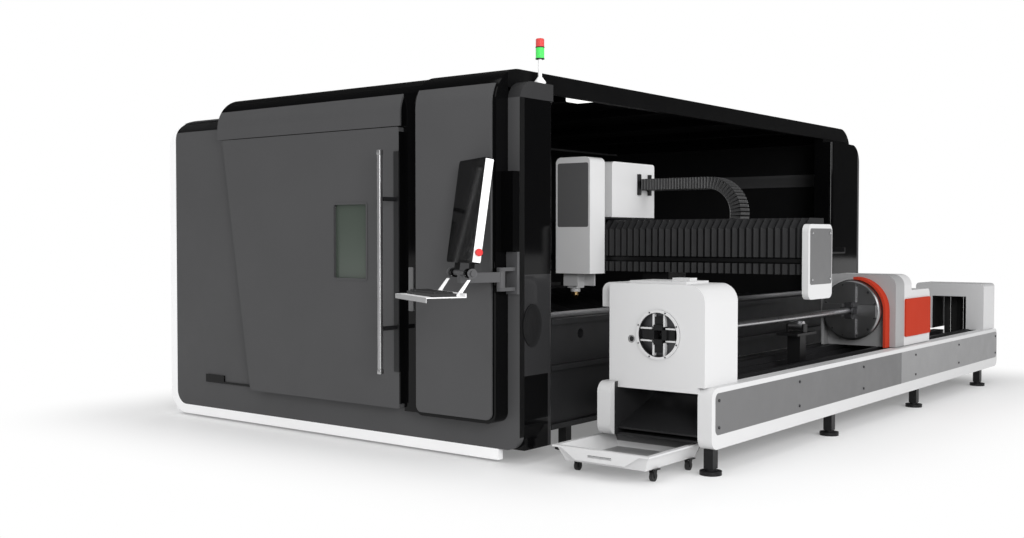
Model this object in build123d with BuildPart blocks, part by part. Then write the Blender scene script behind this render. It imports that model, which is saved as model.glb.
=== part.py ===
"""A fibre laser cutting machine with an enclosed sheet bed and an open tube cutting bed beside it.

Sizes are millimetres. Places are written from two faces of the machine: x from the enclosure's right
face and y from its front sheet, with z up from the floor. ORIGIN_X and ORIGIN_Y then move everything so
that the origin lies on the floor under the middle of the whole machine.
"""

import os
from math import cos, pi, radians, sin

from build123d import *

# Driving dimensions of the enclosure
enclosure_width = 3120
enclosure_depth = 4900
enclosure_height = 2220
wall = 40
skirt_width = 70
skirt_bottom = 20
skirt_top = 83
skirt_cut_x = -155
sheet_top = 2110
sheet_corner = 100
sheet_top_corner = 150
seat_gap = 0.3
overrun = 50

# Roof, columns and back wall
roof_step_x = -2550
low_roof = 22
nose_radius = 210
cap_bottom = 2050
cap_top = 2145
cap_corner = 110
ledge_top = 2080
ledge_corner = 150
rib_width = 60
rib_height = 50
rib_count = 4
rib_pitch = 980
rib_first = 900
column_width = 160
column_front_depth = 310
column_rear_start = 4310
column_edge_radius = 30

# Sliding door
door_left_top = -2500
door_left_bottom = -2220
door_right = -850
door_bottom = 255
door_top = 1930
door_proud = 75
door_track_depth = 10
door_corner = 30
door_edge_width = 10
doorway_left = -1400
doorway_right = -930
doorway_bottom = 300
doorway_top = 1900
window_left = -1410
window_right = -1120
window_bottom = 1020
window_top = 1480
window_corner = 20
track_left = -2780
track_height = 12
track_end_length = 200
track_end_height = 54
track_margin = 8
handle_x = -865
handle_reach = 143
handle_bottom = 475
handle_top = 1784
handle_width = 26
handle_depth = 30
handle_edge = 9
handle_strip_width = 40
handle_strip_thickness = 8
standoff_low = 740
standoff_high = 1500
standoff_radius = 13

# Door header and right front cover
header_gap = 5
header_panel_top = 2125
header_skin = 12
recess_depth = 40
cover_left = -690
cover_right = -85
cover_proud = 110
cover_skin = 15
cover_bottom = 240
cover_border = 22
cover_corner = 60

# Signal tower on the front column
tower_x = -45
tower_y = 243
tower_base_radius = 34
tower_base_height = 14
tower_neck_height = 30
tower_stem_radius = 11
tower_stem_height = 101
lamp_radius = 24
green_height = 65
red_height = 50
red_dome = 8

# Cutting bed
bed_left = -2960
bed_right = -10
bed_beam_width = 240
bed_bottom = 163
bed_flange = 30
bed_waist = 30
bed_step_z = 505
bed_top = 800
bed_cross_count = 4
bed_cross_width = 160
bed_cross_height = 260
bed_hole_radius = 30
bed_hole_y = 644
bed_hole_z = 700
pan_thickness = 8
rail_width = 40
rail_height = 30
slat_count = 20
slat_thickness = 6
slat_height = 90
slat_tooth = 22
slat_teeth = 12
slat_frame_width = 50
slat_rest_width = 30
slat_rest_height = 20
slat_ledge = 60

# Feet
foot_pad_radius = 60
foot_pad_height = 22
foot_neck_radius = 30
foot_post = 56
foot_post_start = 34
tube_foot_first = 470
tube_foot_pitch = 1586
tube_foot_count = 4
bed_foot_count = 4
bed_foot_margin = 300

# Console
console_turn = 29
screen_tilt = 8
mount_left = -82
mount_right = -4
mount_bottom = 960
mount_top = 1190
mount_plate = 20
mount_box_top = 1640
mount_box_depth = 60
mount_box_gap = 10
lug_thickness = 20
lug_low = 1000
lug_high = 1110
swing_x = -43
swing_y = -115
swing_radius = 24
swing_pin_radius = 10
arm_length = 250
arm_width = 34
arm_height = 40
arm_angle = 109
tilt_z = 1085
tilt_radius = 15
tilt_bar_length = 360
monitor_width = 400
monitor_height = 560
monitor_thickness = 44
monitor_corner = 18
monitor_rise = 50
screen_border = 14
screen_thickness = 6
tilt_lug_width = 26
tilt_lug_offset = 110
tilt_lug_radius = 26
estop_up = 60
estop_radius = 20
estop_head = 16
estop_stem_radius = 8
estop_stem = 22
estop_travel = 6
estop_collar_radius = 16
estop_collar = 5
tray_width = 520
tray_depth = 220
tray_sheet = 4
tray_drop = 120
tray_lip = 22
tray_forward = 70
tray_arm_width = 10
tray_arm_thickness = 16
tray_arm_offset = 160
keyboard_width = 430
keyboard_depth = 130
keyboard_height = 16
keyboard_back = 16
keyboard_key_inset = 12
keyboard_key_step = 3

# Gantry beam and its way cover
gantry_front = 1560
gantry_back = 1920
beam_front = 1650
beam_back = 1900
beam_bottom = 1060
beam_top = 1350
beam_wall = 12
gantry_right = 1000
end_cover_width = 40
end_cover_bottom = 895
end_cover_top = 1356
end_cover_corner = 45
end_panel_border = 26
end_panel_foot = 90
end_panel_rear = 6
end_panel_depth = 6
saddle_margin = 10
saddle_width = 200
bellows_pleats = 80
bellows_proud = 50
bellows_fold = 20
bellows_bottom = 1045
bellows_top = 1395
bellows_shoulder_z = 1335
bellows_shoulder_y = 62
bellows_back_margin = 20
slot_bottom = 1110
slot_top = 1150
beam_rail_height = 24
beam_rail_depth = 20
shelf_width = 330
shelf_z = 1170
shelf_thickness = 10
shelf_lip = 40

# Head carriage
head_left = -770
head_right = -488
head_front = 1400
head_back = 1580
head_bottom = 1028
head_top = 1820
head_wall = 10
head_corner = 40
head_panel_border = 14
head_panel_bottom = 1345
head_panel_top = 1780
head_panel_depth = 5
carriage_plate = 20
carriage_deck = 15
carriage_tongue_margin = 5
chain_box_front = 1670
chain_box_back = 2230
chain_box_top = 1800
chain_box_corner = 25
chain_link_height = 80
chain_width = 130
chain_y = 2080
chain_bend_radius = 255
chain_run = 550
chain_pitch = 60
chain_groove = 10
chain_groove_depth = 8

# Cutting head
z_plate_width = 130
z_plate_thickness = 16
z_plate_top = 1330
cutter_shift = 62
cutter_bottom = 900
cutter_width = 90
cutter_depth = 84
cutter_top = 1240
cutter_collar_radius = 34
cutter_collar = 26
cutter_face_width = 118
cutter_face_drop = 40
nozzle_tip_z = 850
nozzle_radius = 24
nozzle_tip_radius = 7
nozzle_tip_length = 26
nozzle_ring_radius = 29
nozzle_ring = 8

# Tube bed
tube_x = 644
tube_z = 742
tube_radius = 24
tube_wall = 4
tube_front = 470
tube_bed_front = 400
tube_bed_back = 5650
rim_inner_left = 300
rim_thickness = 85
rim_outer_left = 890
rim_bottom = 140
rim_inner_bottom = 172
rim_inner_front = 320
rim_top = 470
rim_corner = 60
rim_border = 40
rim_border_top = 28
rim_border_bottom = 76
rim_border_back = 12
rim_recess = 6
rim_edge = 34
panel_seam_y = 3250
panel_seam = 4
bearer_width = 90
bearer_inset = 36
bearer_bottom = 184
bearer_top = 437
trough_thickness = 12
tie_count = 3
tie_width = 120
tie_bottom = 200
tie_height = 110
tie_first = 1000
tie_pitch = 1400
way_width = 36
way_height = 38
chute_top_y = 820
chute_top_z = 360
chute_bottom_z = 215
chute_thickness = 10

# Front chuck
housing_back = 775
housing_top = 1020
housing_corner = 100
housing_left = 328
housing_right = 932
housing_left_corner = 24
chuck_radius = 137
chuck_bore_radius = 60
chuck_ring_width = 14
chuck_ring_proud = 8
chuck_recess = 34
jaw_width = 56
jaw_depth = 36
jaw_length = 74
jaw_step = 14
jaw_step_length = 30
port_radius = 16
port_x = 474
port_z = 712
port_depth = 60
lid_left = 430
lid_right = 790
lid_front = 450
lid_back = 700
lid_height = 14
hatch_left = 640
hatch_right = 750
hatch_front = 560
hatch_back = 640
hatch_height = 30
shoulder_left = 235
shoulder_front = 470
shoulder_bottom = 880
shoulder_corner = 50

# Tube support
support_front = 2040
support_back = 2340
support_width = 150
support_plate = 16
support_cheek = 14
support_roller_radius = 30
support_roller_length = 96
support_axle_radius = 9
support_post_width = 90
support_sleeve_wall = 12
support_sleeve_top = 420
support_travel = 200
support_post_margin = 10

# Rear chuck carriage
disc_front = 3110
disc_thickness = 50
disc_radius = 218
disc_rim = 16
disc_hub_radius = 100
disc_guide_width = 92
disc_guide_depth = 22
disc_guide_length = 150
rear_jaw_width = 50
rear_jaw_depth = 46
rear_plate_front = 3250
rear_plate_thickness = 175
rear_left = 360
rear_right = 930
rear_top = 1000
rear_corner = 80
rear_block_back = 3580
rear_back = 3985
rear_low_top = 880
arch_front = 3166
arch_outer = 242
arch_inner = 224
red_panel_front = 3432
red_panel_back = 3972
red_panel_bottom = 540
red_panel_top = 820
red_panel_thickness = 12
red_panel_corner = 16

# End portal
portal_front = 5330
portal_left = 365
portal_right = 950
portal_top = 870
portal_leg = 150
portal_head = 115
portal_corner = 30

# Scrap cart
cart_left = 235
cart_right = 845
cart_front = -20
cart_back = 600
cart_top = 155
cart_bottom = 68
cart_taper = 34
cart_sheet = 6
cart_rim = 20
cart_rim_height = 10
apron_top_inset = 60
apron_bottom_inset = 150
apron_drop = 66
apron_thickness = 6
grip_width = 150
grip_height = 14
caster_inset_x = 66
caster_front_y = 130
caster_rear_y = 500
wheel_radius = 26
wheel_width = 20
axle_radius = 4
caster_plate = 56
caster_plate_height = 6
caster_cheek = 5
caster_fork_length = 36

# Places that follow from the sizes above
left_face = -enclosure_width - skirt_width
fold_corner = sheet_top_corner + skirt_width
skirt_tip_x = -enclosure_width + sheet_top_corner / 2
skirt_depth = wall
door_back = -door_track_depth - seat_gap
bed_front = column_front_depth
bed_back = column_rear_start
rail_top = bed_top + rail_height
portal_back = tube_bed_back
rim_outer_right = rim_outer_left + rim_thickness
rim_inner_right = rim_inner_left + rim_thickness
turn = radians(console_turn)
console_right = Vector(cos(turn), -sin(turn), 0)
console_face = Vector(-sin(turn), -cos(turn), 0)
swing_centre = Vector(swing_x, swing_y, 0)
arm_way = Vector(cos(radians(arm_angle)), -sin(radians(arm_angle)), 0)
tilt_centre = swing_centre + arm_way * arm_length + Vector(0, 0, tilt_z)
tray_reach = tray_forward + tray_depth
tray_corner = tilt_centre + console_face * tray_reach + console_right * (tray_width / 2)
front_limit = tray_corner.Y
ORIGIN_X = -(left_face + gantry_right) / 2
ORIGIN_Y = -(front_limit + portal_back) / 2
chuck_centre = (tube_x, tube_z)
support_y = (support_front + support_back) / 2
chain_top = shelf_z + shelf_thickness + seat_gap + 2 * chain_bend_radius


def level(z):
    """A plane seen from above at height z, with the machine's x and y."""
    return Plane(origin=(ORIGIN_X, ORIGIN_Y, z))


def facing(y):
    """An upright plane seen from the front at depth y, with the machine's x and height. It grows forward."""
    return Plane(origin=(ORIGIN_X, ORIGIN_Y + y, 0), x_dir=(1, 0, 0), z_dir=(0, -1, 0))


def flank(x):
    """An upright plane seen from the right at x, with the machine's y and height. It grows to the right."""
    return Plane(origin=(ORIGIN_X + x, ORIGIN_Y, 0), x_dir=(0, 1, 0), z_dir=(1, 0, 0))


def console_plane(right, forward, z, facing_up=0):
    """A plane on the turned console, with x to its right, tipped back by facing_up degrees."""
    spot = tilt_centre + console_right * right + console_face * forward
    tip = radians(facing_up)
    normal = console_face * cos(tip) + Vector(0, 0, sin(tip))
    start = Vector(spot.X + ORIGIN_X, spot.Y + ORIGIN_Y, z)
    return Plane(origin=start, x_dir=console_right, z_dir=normal)


def slab(plane, left, right, low, high, depth, radius=0, mode=Mode.ADD):
    """A flat piece on a plane between four sides, grown by depth, with all corners rounded alike."""
    with BuildSketch(plane) as outline:
        with Locations(((left + right) / 2, (low + high) / 2)):
            if radius:
                RectangleRounded(right - left, high - low, radius)
            else:
                Rectangle(right - left, high - low)
    extrude(outline.sketch, amount=depth, mode=mode)


def block(x_low, x_high, y_low, y_high, z_low, z_high, mode=Mode.ADD):
    """A straight block between six faces."""
    slab(level(z_low), x_low, x_high, y_low, y_high, z_high - z_low, mode=mode)


def plate(plane, left, right, low, high, depth, top_left=0, top_right=0, bottom=0, mode=Mode.ADD):
    """A flat piece between four sides, grown by depth, with a radius of its own at each top corner."""
    with BuildSketch(plane) as outline:
        with BuildLine():
            Polyline((left, low), (right, low), (right, high), (left, high), close=True)
        make_face()
        if bottom:
            fillet(outline.vertices().group_by(Axis.Y)[0], bottom)
        if top_left:
            fillet(outline.vertices().group_by(Axis.Y)[-1].sort_by(Axis.X)[0], top_left)
        if top_right:
            fillet(outline.vertices().group_by(Axis.Y)[-1].sort_by(Axis.X)[-1], top_right)
    extrude(outline.sketch, amount=depth, mode=mode)


def shape(plane, points, depth, radius=0, mode=Mode.ADD):
    """A flat piece with a straight-sided outline, grown by depth, with every corner rounded alike."""
    with BuildSketch(plane) as outline:
        with BuildLine():
            Polyline(*points, close=True)
        make_face()
        if radius:
            fillet(outline.vertices(), radius)
    extrude(outline.sketch, amount=depth, mode=mode)


def disc(plane, centre, radius, depth, inner=0, mode=Mode.ADD):
    """A round piece on a plane, grown by depth, with a round hole if an inner radius is given."""
    with BuildSketch(plane) as outline:
        with Locations(centre):
            Circle(radius)
            if inner:
                Circle(inner, mode=Mode.SUBTRACT)
    extrude(outline.sketch, amount=depth, mode=mode)


def roll_front(left, right, front, top, radius):
    """Cut the top front edge of a piece round, so that it rolls back on to the roof."""
    with BuildSketch(flank(left)) as corner:
        with Locations((front + (radius - overrun) / 2, top + (overrun - radius) / 2)):
            Rectangle(radius + overrun, radius + overrun)
        with Locations((front + radius, top - radius)):
            Circle(radius, mode=Mode.SUBTRACT)
    extrude(corner.sketch, amount=right - left, mode=Mode.SUBTRACT)


def roll_back(left, right, back, top, radius):
    """Cut the top rear edge of a piece round."""
    with BuildSketch(flank(left)) as corner:
        with Locations((back + (overrun - radius) / 2, top + (overrun - radius) / 2)):
            Rectangle(radius + overrun, radius + overrun)
        with Locations((back - radius, top - radius)):
            Circle(radius, mode=Mode.SUBTRACT)
    extrude(corner.sketch, amount=right - left, mode=Mode.SUBTRACT)


def clear_behind(left, right, front, low, top, radius):
    """Cut away what lies behind a rolled skin."""
    block(left, right, front, overrun, low, top - radius, mode=Mode.SUBTRACT)
    disc(flank(left), (front + radius, top - radius), radius, right - left, mode=Mode.SUBTRACT)


def keep(piece, name):
    """Label a finished piece and write it to its own file."""
    piece.part.label = name
    export_step(piece.part, f"parts/{name}.step")


os.makedirs("parts", exist_ok=True)

# Cutting bed: two stepped side beams, cross beams between them and a pan
bed_inner_left = bed_left + bed_beam_width
bed_inner_right = bed_right - bed_beam_width
cross_pitch = (bed_back - bed_front - bed_cross_width) / (bed_cross_count - 1)


def bed_beam_outline(outer, inward):
    """Outline of a side beam with three ledges on its outer face."""
    face = outer + inward * bed_waist
    inner = outer + inward * bed_beam_width
    return [
        (outer, bed_bottom),
        (outer, bed_bottom + bed_flange),
        (face, bed_bottom + bed_flange),
        (face, bed_step_z),
        (outer, bed_step_z),
        (outer, bed_step_z + bed_flange),
        (face, bed_step_z + bed_flange),
        (face, bed_top - bed_flange),
        (outer, bed_top - bed_flange),
        (outer, bed_top),
        (inner, bed_top),
        (inner, bed_bottom),
    ]


pan_left = bed_inner_left + seat_gap
pan_right = bed_inner_right - seat_gap
pan_top = bed_bottom + pan_thickness
with BuildPart() as bed_frame:
    shape(facing(bed_back), bed_beam_outline(bed_right, -1), bed_back - bed_front)
    shape(facing(bed_back), bed_beam_outline(bed_left, 1), bed_back - bed_front)
    for row in range(bed_cross_count):
        cross_y = bed_front + row * cross_pitch
        block(
            pan_left,
            pan_right,
            cross_y,
            cross_y + bed_cross_width,
            pan_top + seat_gap,
            bed_bottom + bed_cross_height,
        )
    block(pan_left, pan_right, bed_front, bed_back, bed_bottom, pan_top)
    disc(flank(bed_right), (bed_hole_y, bed_hole_z), bed_hole_radius, -bed_beam_width / 2, mode=Mode.SUBTRACT)
keep(bed_frame, "bed_frame")

# Guide rails on the two side beams
left_rail_x = bed_left + bed_beam_width / 2
right_rail_x = bed_right - bed_beam_width / 2
with BuildPart() as guide_rails:
    for rail_x in (left_rail_x, right_rail_x):
        block(rail_x - rail_width / 2, rail_x + rail_width / 2, bed_front, bed_back, bed_top, rail_top)
keep(guide_rails, "guide_rails")

# Slat table: four bars on the cross beams, two rests between them, and toothed slats across the rests
table_floor = bed_bottom + bed_cross_height
table_left = bed_inner_left + slat_ledge
table_right = bed_inner_right - slat_ledge
table_front = bed_front + bed_cross_width / 2
table_back = bed_back - bed_cross_width / 2
slat_top = bed_top
slat_bottom = slat_top - slat_height
slat_pitch = (table_back - table_front - slat_frame_width) / (slat_count + 1)
slat_left = table_left + slat_frame_width
slat_right = table_right - slat_frame_width


def slat_outline():
    """Outline of one slat, with a row of points along its top."""
    first = slat_left + seat_gap
    last = slat_right - seat_gap
    tooth_pitch = (last - first) / slat_teeth
    points = [(last, slat_bottom), (first, slat_bottom)]
    for tooth in range(slat_teeth):
        start = first + tooth * tooth_pitch
        points.append((start, slat_top - slat_tooth))
        points.append((start + tooth_pitch / 2, slat_top))
    points.append((last, slat_top - slat_tooth))
    return points


slat_rows = [table_front + slat_frame_width / 2 + (row + 1) * slat_pitch for row in range(slat_count)]
rest_left = slat_left + seat_gap
rest_right = slat_right - seat_gap
rest_front = table_front + slat_frame_width + seat_gap
rest_back = table_back - slat_frame_width - seat_gap
with BuildPart() as slat_table:
    for bar_x in (table_left, slat_right):
        block(
            bar_x,
            bar_x + slat_frame_width,
            table_front,
            table_back,
            table_floor,
            slat_top - slat_tooth,
        )
    for bar_y in (table_front, table_back - slat_frame_width):
        block(
            rest_left,
            rest_right,
            bar_y,
            bar_y + slat_frame_width,
            table_floor,
            slat_top - slat_tooth,
        )
    for rest_x in (rest_left, rest_right - slat_rest_width):
        block(
            rest_x,
            rest_x + slat_rest_width,
            rest_front,
            rest_back,
            slat_bottom - seat_gap - slat_rest_height,
            slat_bottom - seat_gap,
        )
    with BuildSketch(*[facing(slat_y + slat_thickness) for slat_y in slat_rows]):
        with BuildLine():
            Polyline(*slat_outline(), close=True)
        make_face()
    extrude(amount=slat_thickness)
keep(slat_table, "slat_table")

# Front sheet with its doorway. Its top edge rolls back, and at the right it caps the front column
with BuildPart() as front_frame:
    plate(
        facing(wall),
        -enclosure_width,
        0,
        skirt_top,
        sheet_top,
        wall,
        top_left=sheet_top_corner,
        bottom=sheet_corner,
    )
    slab(
        facing(wall + overrun),
        doorway_left,
        doorway_right,
        doorway_bottom,
        doorway_top,
        wall + 2 * overrun,
        mode=Mode.SUBTRACT,
    )
    block(-column_width, cover_right, wall, column_front_depth, cap_bottom, sheet_top)
    roll_front(left_face, cover_right, 0, sheet_top, cap_corner)
    block(cover_right, 0, 0, column_front_depth, cap_bottom, cap_top)
    roll_front(cover_right, overrun, 0, cap_top, cap_corner)
keep(front_frame, "front_frame")

# White skirt round the left side and along the foot of the front sheet
with BuildPart() as front_skirt:
    with BuildSketch(facing(skirt_depth)) as band:
        with BuildLine():
            Polyline(
                (left_face, skirt_bottom),
                (skirt_cut_x, skirt_bottom),
                (skirt_cut_x, sheet_top),
                (left_face, sheet_top),
                close=True,
            )
        make_face()
        fillet(band.vertices().group_by(Axis.X)[0].sort_by(Axis.Y)[0], sheet_corner + skirt_width)
        fillet(band.vertices().group_by(Axis.X)[0].sort_by(Axis.Y)[-1], fold_corner)
    extrude(amount=skirt_depth)
    plate(
        facing(skirt_depth),
        -enclosure_width,
        0,
        skirt_top,
        sheet_top,
        skirt_depth,
        top_left=sheet_top_corner,
        bottom=sheet_corner,
        mode=Mode.SUBTRACT,
    )
    block(skirt_tip_x, 0, 0, skirt_depth, enclosure_height / 2, enclosure_height, mode=Mode.SUBTRACT)
    roll_front(left_face - overrun, skirt_tip_x, 0, sheet_top, cap_corner)
keep(front_skirt, "front_skirt")

# Left cover: the left wall and the low part of the roof, folded from one sheet round a large corner
with BuildPart() as left_cover:
    with BuildSketch(facing(enclosure_depth - wall)) as fold:
        with BuildLine():
            Polyline(
                (left_face, skirt_bottom),
                (left_face + wall, skirt_bottom),
                (left_face + wall, sheet_top - low_roof),
                (roof_step_x + wall, sheet_top - low_roof),
                (roof_step_x + wall, sheet_top),
                (left_face, sheet_top),
                close=True,
            )
        make_face()
        fillet(fold.vertices().group_by(Axis.X)[1].sort_by(Axis.Y)[-1], fold_corner - wall)
        fillet(fold.vertices().group_by(Axis.X)[0].sort_by(Axis.Y)[-1], fold_corner)
    extrude(amount=enclosure_depth - wall - skirt_depth)
    roll_front(left_face - overrun, roof_step_x + wall + overrun, 0, sheet_top, cap_corner)
keep(left_cover, "left_cover")

with BuildPart() as back_wall:
    block(left_face, 0, enclosure_depth - wall, enclosure_depth, skirt_bottom, sheet_top)
    fillet(back_wall.edges().filter_by(Axis.Y).group_by(Axis.X)[0].sort_by(Axis.Z)[-1], fold_corner)
    block(
        cover_right,
        overrun,
        enclosure_depth - wall - overrun,
        enclosure_depth + overrun,
        ledge_top,
        enclosure_height,
        mode=Mode.SUBTRACT,
    )
    roll_back(cover_right, overrun, enclosure_depth, ledge_top, ledge_corner)
    roll_back(roof_step_x, cover_right, enclosure_depth, enclosure_height, nose_radius)
keep(back_wall, "back_wall")

# Roof: the raised part, which rolls down to the covers in front and to the wall behind, with ribs inside
with BuildPart() as roof_cover:
    block(roof_step_x, cover_right, 0, enclosure_depth, sheet_top, enclosure_height)
    block(
        roof_step_x + wall,
        cover_right - wall,
        wall,
        enclosure_depth - nose_radius,
        sheet_top - overrun,
        enclosure_height - wall,
        mode=Mode.SUBTRACT,
    )
    for rib in range(rib_count):
        rib_y = rib_first + rib * rib_pitch
        block(
            roof_step_x + wall,
            cover_right - wall,
            rib_y,
            rib_y + rib_width,
            enclosure_height - wall - rib_height,
            enclosure_height - wall,
        )
    roll_front(roof_step_x - overrun, cover_left, -door_proud, enclosure_height, nose_radius)
    roll_front(cover_left, overrun, -cover_proud, enclosure_height, nose_radius)
    roll_back(roof_step_x - overrun, overrun, enclosure_depth, enclosure_height, nose_radius)
keep(roof_cover, "roof_cover")

# Black columns at the front and rear of the open side
column_back = enclosure_depth - wall
with BuildPart() as side_columns:
    block(-column_width, 0, wall, column_front_depth, skirt_top, cap_bottom)
    block(-column_width, 0, column_rear_start, column_back, skirt_top, ledge_top)
    block(-column_width, cover_right, column_rear_start, column_back, ledge_top, sheet_top)
    upright = side_columns.edges().filter_by(Axis.Z).group_by(Axis.X)[-1]
    fillet(upright.sort_by(Axis.Y)[1:3], column_edge_radius)
    roll_back(cover_right, overrun, enclosure_depth, ledge_top, ledge_corner)
    roll_back(-column_width - overrun, cover_right, enclosure_depth, enclosure_height, nose_radius)
keep(side_columns, "side_columns")

# Sliding door: leaf with a slanted left edge, edge strip, window, handle and handle mounts
track_bottom = door_bottom + track_margin
with BuildPart() as door_leaf:
    shape(
        facing(door_back),
        [
            (door_left_top, door_top),
            (door_left_bottom, door_bottom),
            (door_right, door_bottom),
            (door_right, door_top),
        ],
        door_proud + door_back,
        radius=door_corner / 2,
    )
    slab(
        facing(overrun),
        window_left,
        window_right,
        window_bottom,
        window_top,
        door_proud + 2 * overrun,
        radius=window_corner,
        mode=Mode.SUBTRACT,
    )
keep(door_leaf, "door_leaf")

with BuildPart() as door_edge:
    slab(
        facing(door_back),
        door_right,
        door_right + door_edge_width,
        door_bottom + door_corner,
        door_top - door_corner,
        door_proud + door_back,
    )
keep(door_edge, "door_edge")

pane_inset = window_corner
with BuildPart() as door_window:
    slab(
        facing(door_back - pane_inset),
        window_left,
        window_right,
        window_bottom,
        window_top,
        door_proud + door_back - 2 * pane_inset,
        radius=window_corner,
    )
keep(door_window, "door_window")

strip_front = -door_proud - handle_strip_thickness
handle_back = -door_proud - handle_reach + handle_depth / 2
with BuildPart() as handle_mounts:
    slab(
        facing(-door_proud),
        handle_x - handle_strip_width / 2,
        handle_x + handle_strip_width / 2,
        handle_bottom,
        handle_top,
        handle_strip_thickness,
    )
    for standoff in (standoff_low, standoff_high):
        disc(facing(strip_front), (handle_x, standoff), standoff_radius, strip_front - handle_back)
keep(handle_mounts, "handle_mounts")

with BuildPart() as door_handle:
    slab(
        facing(handle_back),
        handle_x - handle_width / 2,
        handle_x + handle_width / 2,
        handle_bottom,
        handle_top,
        handle_depth,
    )
    fillet(door_handle.edges().filter_by(Axis.Z), handle_edge)
keep(door_handle, "door_handle")

# Track bars that guide the back of the door: a thin one at its foot with an end block, one at its top
track_top = door_top - track_margin
with BuildPart() as door_track:
    slab(facing(0), track_left, doorway_left, track_bottom, track_bottom + track_height, door_track_depth)
    slab(
        facing(0),
        track_left,
        track_left + track_end_length,
        track_bottom,
        track_bottom + track_end_height,
        door_track_depth,
    )
    slab(
        facing(0),
        door_left_top + overrun,
        doorway_left,
        track_top - track_height,
        track_top,
        door_track_depth,
    )
keep(door_track, "door_track")

# Header over the door, which turns down as a recessed strip beside it, and the cover right of that.
# Both roll back on to the roof, and each is a black body with a grey skin
header_bottom = door_top + header_gap
header_right = door_right + door_edge_width
recess_left = header_right + seat_gap
recess_right = cover_left - seat_gap
with BuildPart() as door_header_panel:
    slab(facing(0), roof_step_x, header_right, header_bottom, header_panel_top, door_proud)
    roll_front(roof_step_x - overrun, overrun, -door_proud, enclosure_height, nose_radius)
    clear_behind(
        roof_step_x - overrun,
        header_right + overrun,
        header_skin - door_proud,
        header_bottom - overrun,
        enclosure_height - header_skin,
        nose_radius - header_skin,
    )
keep(door_header_panel, "door_header_panel")

with BuildPart() as door_header:
    slab(facing(0), roof_step_x, header_right, header_bottom, enclosure_height, door_proud)
    slab(facing(0), header_right, recess_right, header_bottom, enclosure_height, recess_depth)
    slab(facing(0), recess_left, recess_right, cover_bottom, header_bottom, recess_depth)
    roll_front(roof_step_x - overrun, overrun, -door_proud, enclosure_height, nose_radius)
    add(door_header_panel.part, mode=Mode.SUBTRACT)
keep(door_header, "door_header")

with BuildPart() as right_cover_body:
    slab(facing(0), cover_left, cover_right, cover_bottom, enclosure_height, cover_proud)
    fillet(right_cover_body.edges().filter_by(Axis.Y).group_by(Axis.Z)[0], cover_corner)
    roll_front(cover_left - overrun, overrun, -cover_proud, enclosure_height, nose_radius)
keep(right_cover_body, "right_cover_body")

skin_front = -cover_proud - cover_skin
with BuildPart() as right_cover_panel:
    plate(
        facing(0),
        cover_left + cover_border,
        cover_right - cover_border,
        cover_bottom + cover_border,
        header_panel_top,
        -skin_front,
        bottom=cover_corner - cover_border,
    )
    roll_front(cover_left, overrun, skin_front, enclosure_height + cover_skin, nose_radius + cover_skin)
    clear_behind(cover_left, overrun, -cover_proud, 0, enclosure_height, nose_radius)
keep(right_cover_panel, "right_cover_panel")

# Signal tower: a flared base and stem, then the green and the red lamp
tower_spot = (tower_x + ORIGIN_X, tower_y + ORIGIN_Y, cap_top)
tower_plane = Plane(origin=tower_spot, x_dir=(1, 0, 0), z_dir=(0, -1, 0))
stem_top = tower_base_height + tower_neck_height + tower_stem_height
with BuildPart() as tower_stem:
    with BuildSketch(tower_plane):
        with BuildLine():
            Polyline(
                (0, 0),
                (tower_base_radius, 0),
                (tower_base_radius, tower_base_height),
                (tower_stem_radius, tower_base_height + tower_neck_height),
                (tower_stem_radius, stem_top),
                (0, stem_top),
                close=True,
            )
        make_face()
    revolve(axis=Axis(tower_spot, (0, 0, 1)))
keep(tower_stem, "tower_stem")

tower_centre = (tower_x, tower_y)
green_z = cap_top + stem_top
red_z = green_z + green_height
with BuildPart() as tower_green:
    disc(level(green_z), tower_centre, lamp_radius, green_height)
keep(tower_green, "tower_green")

with BuildPart() as tower_red:
    disc(level(red_z), tower_centre, lamp_radius, red_height)
    fillet(tower_red.edges().group_by(Axis.Z)[-1], red_dome)
keep(tower_red, "tower_red")

# Console mount: a plate and a box on the front sheet, with two lugs that carry a hinge pin
with BuildPart() as console_mount:
    slab(facing(0), mount_left, mount_right, mount_bottom, mount_top, mount_plate)
    slab(facing(0), mount_left, mount_right, mount_top + mount_box_gap, mount_box_top, mount_box_depth)
    slab(facing(0), mount_left, mount_right, mount_top, mount_top + mount_box_gap, mount_plate)
    for lug_z in (lug_low, lug_high):
        block(
            swing_x - swing_radius,
            swing_x + swing_radius,
            swing_y,
            -mount_plate,
            lug_z - lug_thickness,
            lug_z,
        )
        disc(level(lug_z - lug_thickness), (swing_x, swing_y), swing_radius, lug_thickness)
    disc(level(lug_low), (swing_x, swing_y), swing_pin_radius, lug_high - lug_low)
keep(console_mount, "console_mount")

# Console arm: barrel on the pin, arm, and the cross bar that the screen tilts on
barrel_bottom = lug_low + seat_gap
barrel_height = lug_high - lug_thickness - seat_gap - barrel_bottom
arm_low = tilt_z - arm_height - tilt_radius
arm_plane = Plane(
    origin=(swing_x + ORIGIN_X, swing_y + ORIGIN_Y, arm_low),
    x_dir=arm_way,
    z_dir=(0, 0, 1),
)
with BuildPart() as console_arm:
    disc(level(barrel_bottom), (swing_x, swing_y), swing_radius, barrel_height)
    slab(arm_plane, 0, arm_length + arm_width / 2, -arm_width / 2, arm_width / 2, arm_height + tilt_radius)
    disc(
        level(barrel_bottom - overrun),
        (swing_x, swing_y),
        swing_pin_radius + seat_gap,
        barrel_height + 2 * overrun,
        mode=Mode.SUBTRACT,
    )
    bar_plane = Plane(
        origin=console_plane(-tilt_bar_length / 2, 0, tilt_z).origin,
        x_dir=(0, 0, 1),
        z_dir=console_right,
    )
    disc(bar_plane, (0, 0), tilt_radius, tilt_bar_length)
keep(console_arm, "console_arm")

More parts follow.
